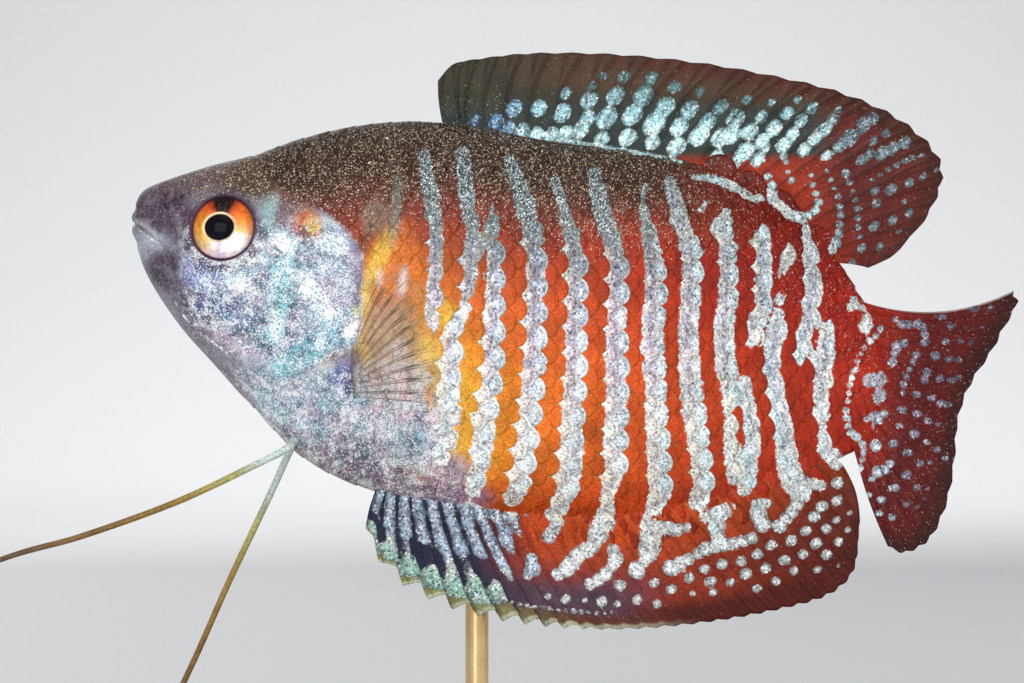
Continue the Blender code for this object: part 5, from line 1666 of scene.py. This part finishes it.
def make_eyeball(side):
    word = "left" if side < 0 else "right"
    centre, out, tail_way, up = eye_frame(side)
    put_down()
    bpy.ops.mesh.primitive_uv_sphere_add(segments=128, ring_count=110, radius=1, location=(0, 0, 0))
    ball = bpy.context.object
    ball.name = f"eyeball_{word}"
    unit = points_of(ball)
    polar = np.arccos(np.clip(unit[:, 2], -1, 1)) / math.pi
    r, h = smooth(EYE_PROFILE, polar).T
    r = np.maximum(r, 0)
    turn = np.arctan2(unit[:, 1], unit[:, 0])
    squash = step(2.3, 1.2, r)
    across = r * np.cos(turn) * (1 + 0.05 * squash) - 0.24 * squash * step(-0.5, 0.5, h)
    high = r * np.sin(turn) * (1 - 0.10 * squash)
    place = centre + across[:, None] * tail_way + high[:, None] * up + h[:, None] * out
    put_points(ball, place * MM)
    ground, iris = eye_colours(across, high, r)
    lay_colours(ball, {"ground": ground, "shine": np.minimum(ground * 1.4 + 0.12, 1), "mark": iris})
    outward(ball)
    ball.data.materials.append(eye_finish)
    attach(ball, "root")
    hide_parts(f"eye_{word}")
    return ball


for side in (-1, 1):
    made = make_eyeball(side)
print("eyeball:", len(made.data.polygons), "faces")

# %% Rim of the eye
RIM_RADIUS, RIM_OUT = 2.87, 0.53
RIM_WIDE, RIM_HIGH = 0.17, 0.15
RIM_STEPS = 96


def make_rim(side):
    """A soft dark ring of skin that closes the gap between eyeball and socket."""
    word = "left" if side < 0 else "right"
    centre, out, tail_way, up = eye_frame(side)
    turn = np.linspace(0, 2 * math.pi, RIM_STEPS + 1)
    radial = np.cos(turn)[:, None] * tail_way + np.sin(turn)[:, None] * up
    path = centre + RIM_RADIUS * radial + RIM_OUT * out
    piece, s, t = rolled(f"eye_rim_{word}", path, [1, 1], 16, RIM_STEPS)
    radial = radial[(t * RIM_STEPS).round().astype(int) % RIM_STEPS]
    round_about = s * 2 * math.pi
    away = RIM_RADIUS + RIM_WIDE * np.cos(round_about)
    height = RIM_OUT + RIM_HIGH * np.sin(round_about)
    place = centre + away[:, None] * radial + height[:, None] * out
    put_points(piece, place * MM)
    ground = np.zeros((len(place), 3)) + np.array((0.075, 0.035, 0.07))
    lay_colours(piece, {"ground": ground, "shine": ground})
    weld(piece, 0.002)
    outward(piece)
    piece.data.materials.append(skin_finish)
    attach(piece, "root")
    return piece


for side in (-1, 1):
    made = make_rim(side)
print("rim:", len(made.data.polygons), "faces")

# %% [markdown]
# ## Scales
# The scales lie like roof tiles in slanting rows: every other column is shifted by half a scale, and
# each scale covers the roots of those behind it. One scale is modelled from a grid pressed into an
# oval disc and thickened. It is then draped over the body hundreds of times with numpy, rising a
# little from its root to its free rear edge. The columns follow the pale rows, as they do on the
# fish, where a row is two scales wide. So each scale takes part of its tone from its own middle.

# %% One scale
SCALE_LONG, SCALE_HIGH, SCALE_THICK = 2.9, 2.55, 0.06
SCALE_TIP = 0.82
ROW_PITCH = [(-30, 2.0), (-18, 2.15), (0, 2.2), (14, 2.05), (30, 1.8)]
PALE_ROWS = [
    # where the middle of each pale row stands half way up the flank; rows in front and behind complete it
    -20.9, -17.6, -14.3, -10.94, -7.61, -4.23, -0.73, 2.82, 6.24, 9.74, 13.03, 16.11, 19.15, 21.97, 24.7,
    27.6, 30.6,
]
FIRST_ROW = -3


def make_scale():
    """Returns the places, along and across from -1 to 1, which side is up, and the faces of one scale."""
    piece, s, t = new_grid("one_scale", 8, 8)
    p, q = s * 2 - 1, t * 2 - 1
    disc = np.stack([p * np.sqrt(1 - q * q / 2), q * np.sqrt(1 - p * p / 2), 0 * p], 1)
    put_points(piece, disc)
    solid = piece.modifiers.new("Solidify", "SOLIDIFY")
    solid.thickness, solid.offset = 0.1, -1
    apply_all(piece)
    outward(piece)
    corners = points_of(piece)
    faces = np.array([list(f.vertices) for f in piece.data.polygons])
    bpy.data.objects.remove(piece)
    return corners[:, 0], corners[:, 1], corners[:, 2] > -0.05, faces


ONE_P, ONE_Q, ONE_TOP, ONE_FACES = make_scale()
print("one scale:", len(ONE_FACES), "faces")

# %% Where the scales go
def column_x(u, z):
    """Where column u, in pale rows, stands at height z: rows lean forward above and fan out below."""
    rows = np.arange(len(PALE_ROWS)) + FIRST_ROW
    base = np.interp(u, rows, PALE_ROWS)
    above = np.clip(z - 52.1, 0, None) / 7.7
    below = np.clip(44.4 - z, 0, None) / 11.5
    return base - 1.45 * above**2 + (u - 6.2) * 0.6 * below**1.3


def lay_columns():
    """Middles of the visible parts of all scales of one side, as x and arc from the widest line."""
    found = []
    for k in range(4 * FIRST_ROW, 4 * (len(PALE_ROWS) + FIRST_ROW) - 4):
        u = (k + 0.5) / 4
        for j in range(-14, 15):
            x = float(column_x(u, 45.0))
            count = j + 0.5 * (k % 2)
            for _ in range(5):
                x = min(max(x, -31.0), 32.5)
                arc = count * float(np.interp(x, *zip(*ROW_PITCH)))
                up, low = arc_at(x)
                n = arc / (up if arc > 0 else low)
                if abs(n) > 1.3:
                    break
                x = float(column_x(u, on_body(x, min(max(n, -1), 1), 1)[2] - max(0, -arc - low)))
            sheath = 2.2 * (-1 < x < 27) if arc < 0 else 0
            if abs(arc) < (up if arc > 0 else low) + max(sheath, 0.5) and abs(n) < 1.3 and x < 31.5:
                found.append((x, arc, n, k, j))
    return np.array(found)


def sheath_half(past):
    """Half the thickness of the fleshy sheath at a fin's root, by the height past the body's ridge."""
    return np.interp(past, (-1.5, 0.0, 1.0, 2.2, 3.5), (0.62, 0.56, 0.42, 0.24, 0.14))


def drape(x, arc, side, lift, finned):
    """Points over the body at x and arc from the widest line, lifted off it by so many mm.

    Where a fin stands on the ridge, points past it run on over the fin's root.
    """
    x = np.clip(x, -31.3, 32.9)
    up, low = arc_at(x)
    n = np.where(arc > 0, arc / up, arc / low)
    reach = np.where(arc > 0, up, low)
    past = np.abs(arc) - reach
    held = np.where(finned, np.clip(n, -1, 1), np.clip(n, -1.35, 1.35))
    place, out = on_body(x, held, side), facing(x, held * 0.999, side)
    half = sheath_half(past)
    place[..., 1] = np.where(finned & (np.abs(place[..., 1]) < half), side * half, place[..., 1])
    place[..., 2] -= np.where(finned, np.sign(arc) * -np.clip(past, 0, None), 0)
    turned = (step(-1.8, -0.2, past) * finned)[..., None]
    out = out * (1 - turned) + np.array((0, side, 0)) * turned
    out /= np.linalg.norm(out, axis=-1, keepdims=True)
    return place + out * lift[..., None]


spots = lay_columns()
middle = on_body(spots[:, 0], spots[:, 2], -1)
seen_x, seen_z = as_seen(middle)
tail_limit = 29.9 + 1.0 * (1 - ((middle[:, 2] - 43) / 8) ** 2)
middle[:, 2] += np.sign(spots[:, 1]) * np.clip(np.abs(spots[:, 2]) - 1, 0, 1) * 15
keep = (within(HEAD_OUTLINE, seen_x, seen_z) < 0.1) & (spots[:, 0] < tail_limit) & (spots[:, 0] > -27)
keep &= over_foot(seen_x, seen_z) < -0.55
spots = spots[keep]
print("scales on a side:", len(spots))

# %% Drape the scales
def row_spread(x, z):
    """How much wider, in mm at each edge, the pale rows are low on the front of the flank."""
    return 0.13 * step(48, 43, z) * step(19, 9, x)


def make_scales(name, spots, side, seed):
    rng = np.random.default_rng(seed)
    count = len(spots)
    x0, arc0 = spots[:, 0:1], spots[:, 1:2]
    size = rng.uniform(0.97, 1.04, (count, 1))
    turn = rng.normal(0, 0.035, (count, 1))
    long, high = SCALE_LONG / 2 * size, SCALE_HIGH / 2 * size
    p, q = ONE_P[None], ONE_Q[None]
    px, qz = long * p, high * q
    along = x0 + SCALE_TIP - long + px * np.cos(turn) - qz * np.sin(turn)
    across = arc0 + px * np.sin(turn) + qz * np.cos(turn)
    toward = (p + 1) / 2
    flat_laid = step(-2.6, -6.5, x0 + 0.25 * arc0) * step(-2, -6, arc0)
    flat_laid = np.maximum(flat_laid, step(0.7, 0.95, spots[:, 2:3]) * step(4, -4, x0))
    lift = -0.20 + (0.27 - 0.12 * flat_laid) * toward**0.9 - 0.035 * q**2 + 0.016 * q
    lift = lift + rng.normal(0, 0.008, (count, 1)) - np.where(ONE_TOP, 0, SCALE_THICK)[None]
    bottom, top = spots[:, 1] < 0, spots[:, 1] > 0
    finned = (bottom & (spots[:, 0] > -9) | top & (spots[:, 0] > -1)) & (spots[:, 0] < 28)
    points = drape(along, across, side, lift, finned[:, None] & np.ones_like(p, bool))
    flat = points.reshape(-1, 3)
    faces = (ONE_FACES[None] + (np.arange(count) * len(ONE_P))[:, None, None]).reshape(-1, 4)
    if side > 0:
        faces = faces[:, ::-1]
    mesh = bpy.data.meshes.new(name)
    mesh.from_pydata((flat * MM).tolist(), [], faces.tolist())
    piece = bpy.data.objects.new(name, mesh)
    bpy.context.scene.collection.objects.link(piece)
    mesh.shade_smooth()

    sx, sz = as_seen(flat)
    zero = np.zeros(count)
    cx, cz = as_seen(drape(spots[:, 0], spots[:, 1], side, zero, finned))
    own = np.clip(depth_in(STRIPES, cx, cz) + row_spread(cx, cz), -0.6, 0.6)
    deep = depth_in(STRIPES, sx, sz) + row_spread(sx, sz)
    here = np.clip(deep, -0.6, 0.6).reshape(count, -1)
    share = 0.5 * step(31.5, 34.5, cz) * step(58, 54, cz) * step(29.5, 27, cx) * step(-9.0, -6.8, cx)
    share = share[:, None]
    mark = np.clip((own[:, None] * share + here * (1 - share)) / (1 - 0.85 * share), -0.6, 0.6)
    mark = np.maximum(mark.ravel(), depth_in(MARBLING + ROOT_BEADS + TAIL_MARKS[:6], sx, sz))
    tone = np.repeat(rng.normal(1.0, 0.07, count), len(ONE_P))
    pale_tone = np.repeat(rng.uniform(0.78, 1.16, count), len(ONE_P))
    ground = body_ground(sx, sz)[0]
    shine = flank_shine(sx, sz)
    column = np.repeat(spots[:, 3].astype(int) % 4, len(ONE_P))
    cyan = (column == 0)[:, None]
    yellow = (column == 3)[:, None]
    shine = shine * np.where(cyan, (0.87, 1.04, 1.07), np.where(yellow, (1.06, 1.03, 0.90), (1, 1, 1)))
    p_all, q_all = np.tile(ONE_P, count), np.tile(ONE_Q, count)
    core = 0.8 * step(0.3, 0.75, deep) * (0.3 + 0.7 * step(38, 46, sz))
    shine = shine * (1 - core[:, None] * np.array((0.42, 0.54, 0.30)))
    # Painted shade: each scale's pale colour darkens towards its upper and lower sides, where its
    # neighbours above and below overlap it.
    shine = shine * (1.06 - 0.5 * step(0.55, 1.0, np.abs(q_all)))[:, None]
    bead = np.exp(-((q_all / 0.5) ** 2) - ((p_all - 0.45) / 0.5) ** 2)[:, None]
    ground = ground * (1 - 0.22 * bead * np.array((0.0, 1.0, 0.6)))
    shine = np.minimum(shine * pale_tone[:, None], 1)
    lay_colours(piece, {"ground": ground * tone[:, None], "shine": shine, "mark": mark,
                        "glint": flank_glint(sx, sz), "mottle": silver_share(sx, sz)})
    carry(piece, "scale_p", p_all)
    carry(piece, "scale_q", q_all)
    lay_bake_map(piece, spots, side, faces, count)
    piece.data.materials.append(scale_finish)
    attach(piece, "root")
    return piece


def lay_bake_map(piece, spots, side, faces, count):
    """Gives each scale a small patch where its root lies on an unwrap of the skin."""
    u = (spots[:, 0] - SCALE_LONG / 2 + 34) / 70
    v = 0.5 + side * 0.25 + 0.22 * spots[:, 2]
    us = (u[:, None] + 0.0015 * ONE_P[None]).ravel()
    vs = (v[:, None] + 0.0015 * ONE_Q[None]).ravel()
    layer = piece.data.uv_layers.new(name="OFBake")
    loops = np.empty(len(piece.data.loops), int)
    piece.data.loops.foreach_get("vertex_index", loops)
    layer.data.foreach_set("uv", np.stack([us[loops], vs[loops]], 1).ravel())


for side, word in ((-1, "left"), (1, "right")):
    for part, chosen in (("front", spots[:, 0] < 6), ("rear", spots[:, 0] >= 6)):
        made = make_scales(f"scales_{word}_{part}", spots[chosen], side, 11 + side)
        print(made.name, 2 * len(made.data.polygons), "triangles")

# %% [markdown]
# ## Stand
# The base is oiled walnut and the rod brushed brass. Both keep the shape of the CAD part. Wood grain
# is a stretched noise that bends a set of rings, with fine dark pores laid over it.

# %% Walnut and brass
def stretched(tree, where, scale):
    """The place on the piece, drawn out along one way by a smaller scale."""
    node = tree.nodes.new("ShaderNodeMapping")
    tree.links.new(where, node.inputs["Vector"])
    node.inputs["Scale"].default_value = scale
    return node.outputs["Vector"]


def walnut():
    material, tree, shader, where = new_finish("oiled_walnut", Coat_Weight=0.05)
    along = stretched(tree, where, (0.09, 1.0, 1.0))
    grain = cloud(tree, along, 190.0, 6.0, 0.6)
    rings = sum_node(tree, "FRACT", times(tree, grain, 7.0))
    colour = blend_colours(tree, ramp(tree, rings, 0.0, 1.0), (0.045, 0.021, 0.011), (0.13, 0.062, 0.031))
    pores = cloud(tree, along, 2600.0, 3.0, 0.7)
    pore = ramp(tree, pores, 0.62, 0.72)
    colour = blend_colours(tree, times(tree, pore, 0.7), colour, (0.018, 0.008, 0.005))
    tree.links.new(colour, shader.inputs["Base Color"])
    tree.links.new(ramp(tree, pores, 0.3, 0.7, 0.42, 0.62), shader.inputs["Roughness"])
    raise_bump(tree, shader, 0.3, 0.0001, sum_node(tree, "SUBTRACT", grain, pore))
    return material


def brass():
    material, tree, shader, where = new_finish("brushed_brass", Metallic=1.0)
    brushed = cloud(tree, stretched(tree, where, (1.0, 1.0, 14.0)), 900.0, 4.0, 0.6)
    tarnish = ramp(tree, cloud(tree, where, 160.0, 3.0), 0.35, 0.7)
    colour = blend_colours(tree, tarnish, (0.76, 0.56, 0.27), (0.58, 0.39, 0.17))
    tree.links.new(colour, shader.inputs["Base Color"])
    tree.links.new(ramp(tree, brushed, 0.3, 0.7, 0.20, 0.36), shader.inputs["Roughness"])
    raise_bump(tree, shader, 0.2, 0.00003, brushed)
    return material


for node, finish in (("stand_base", walnut()), ("stand_rod", brass())):
    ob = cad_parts[node]
    ob.data.materials.clear()
    ob.data.materials.append(finish)
print("stand dressed")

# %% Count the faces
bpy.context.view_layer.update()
shown = [ob for ob in bpy.data.objects if ob.type == "MESH" and not ob.hide_render]
print("faces in all:", sum(len(ob.data.polygons) for ob in shown))
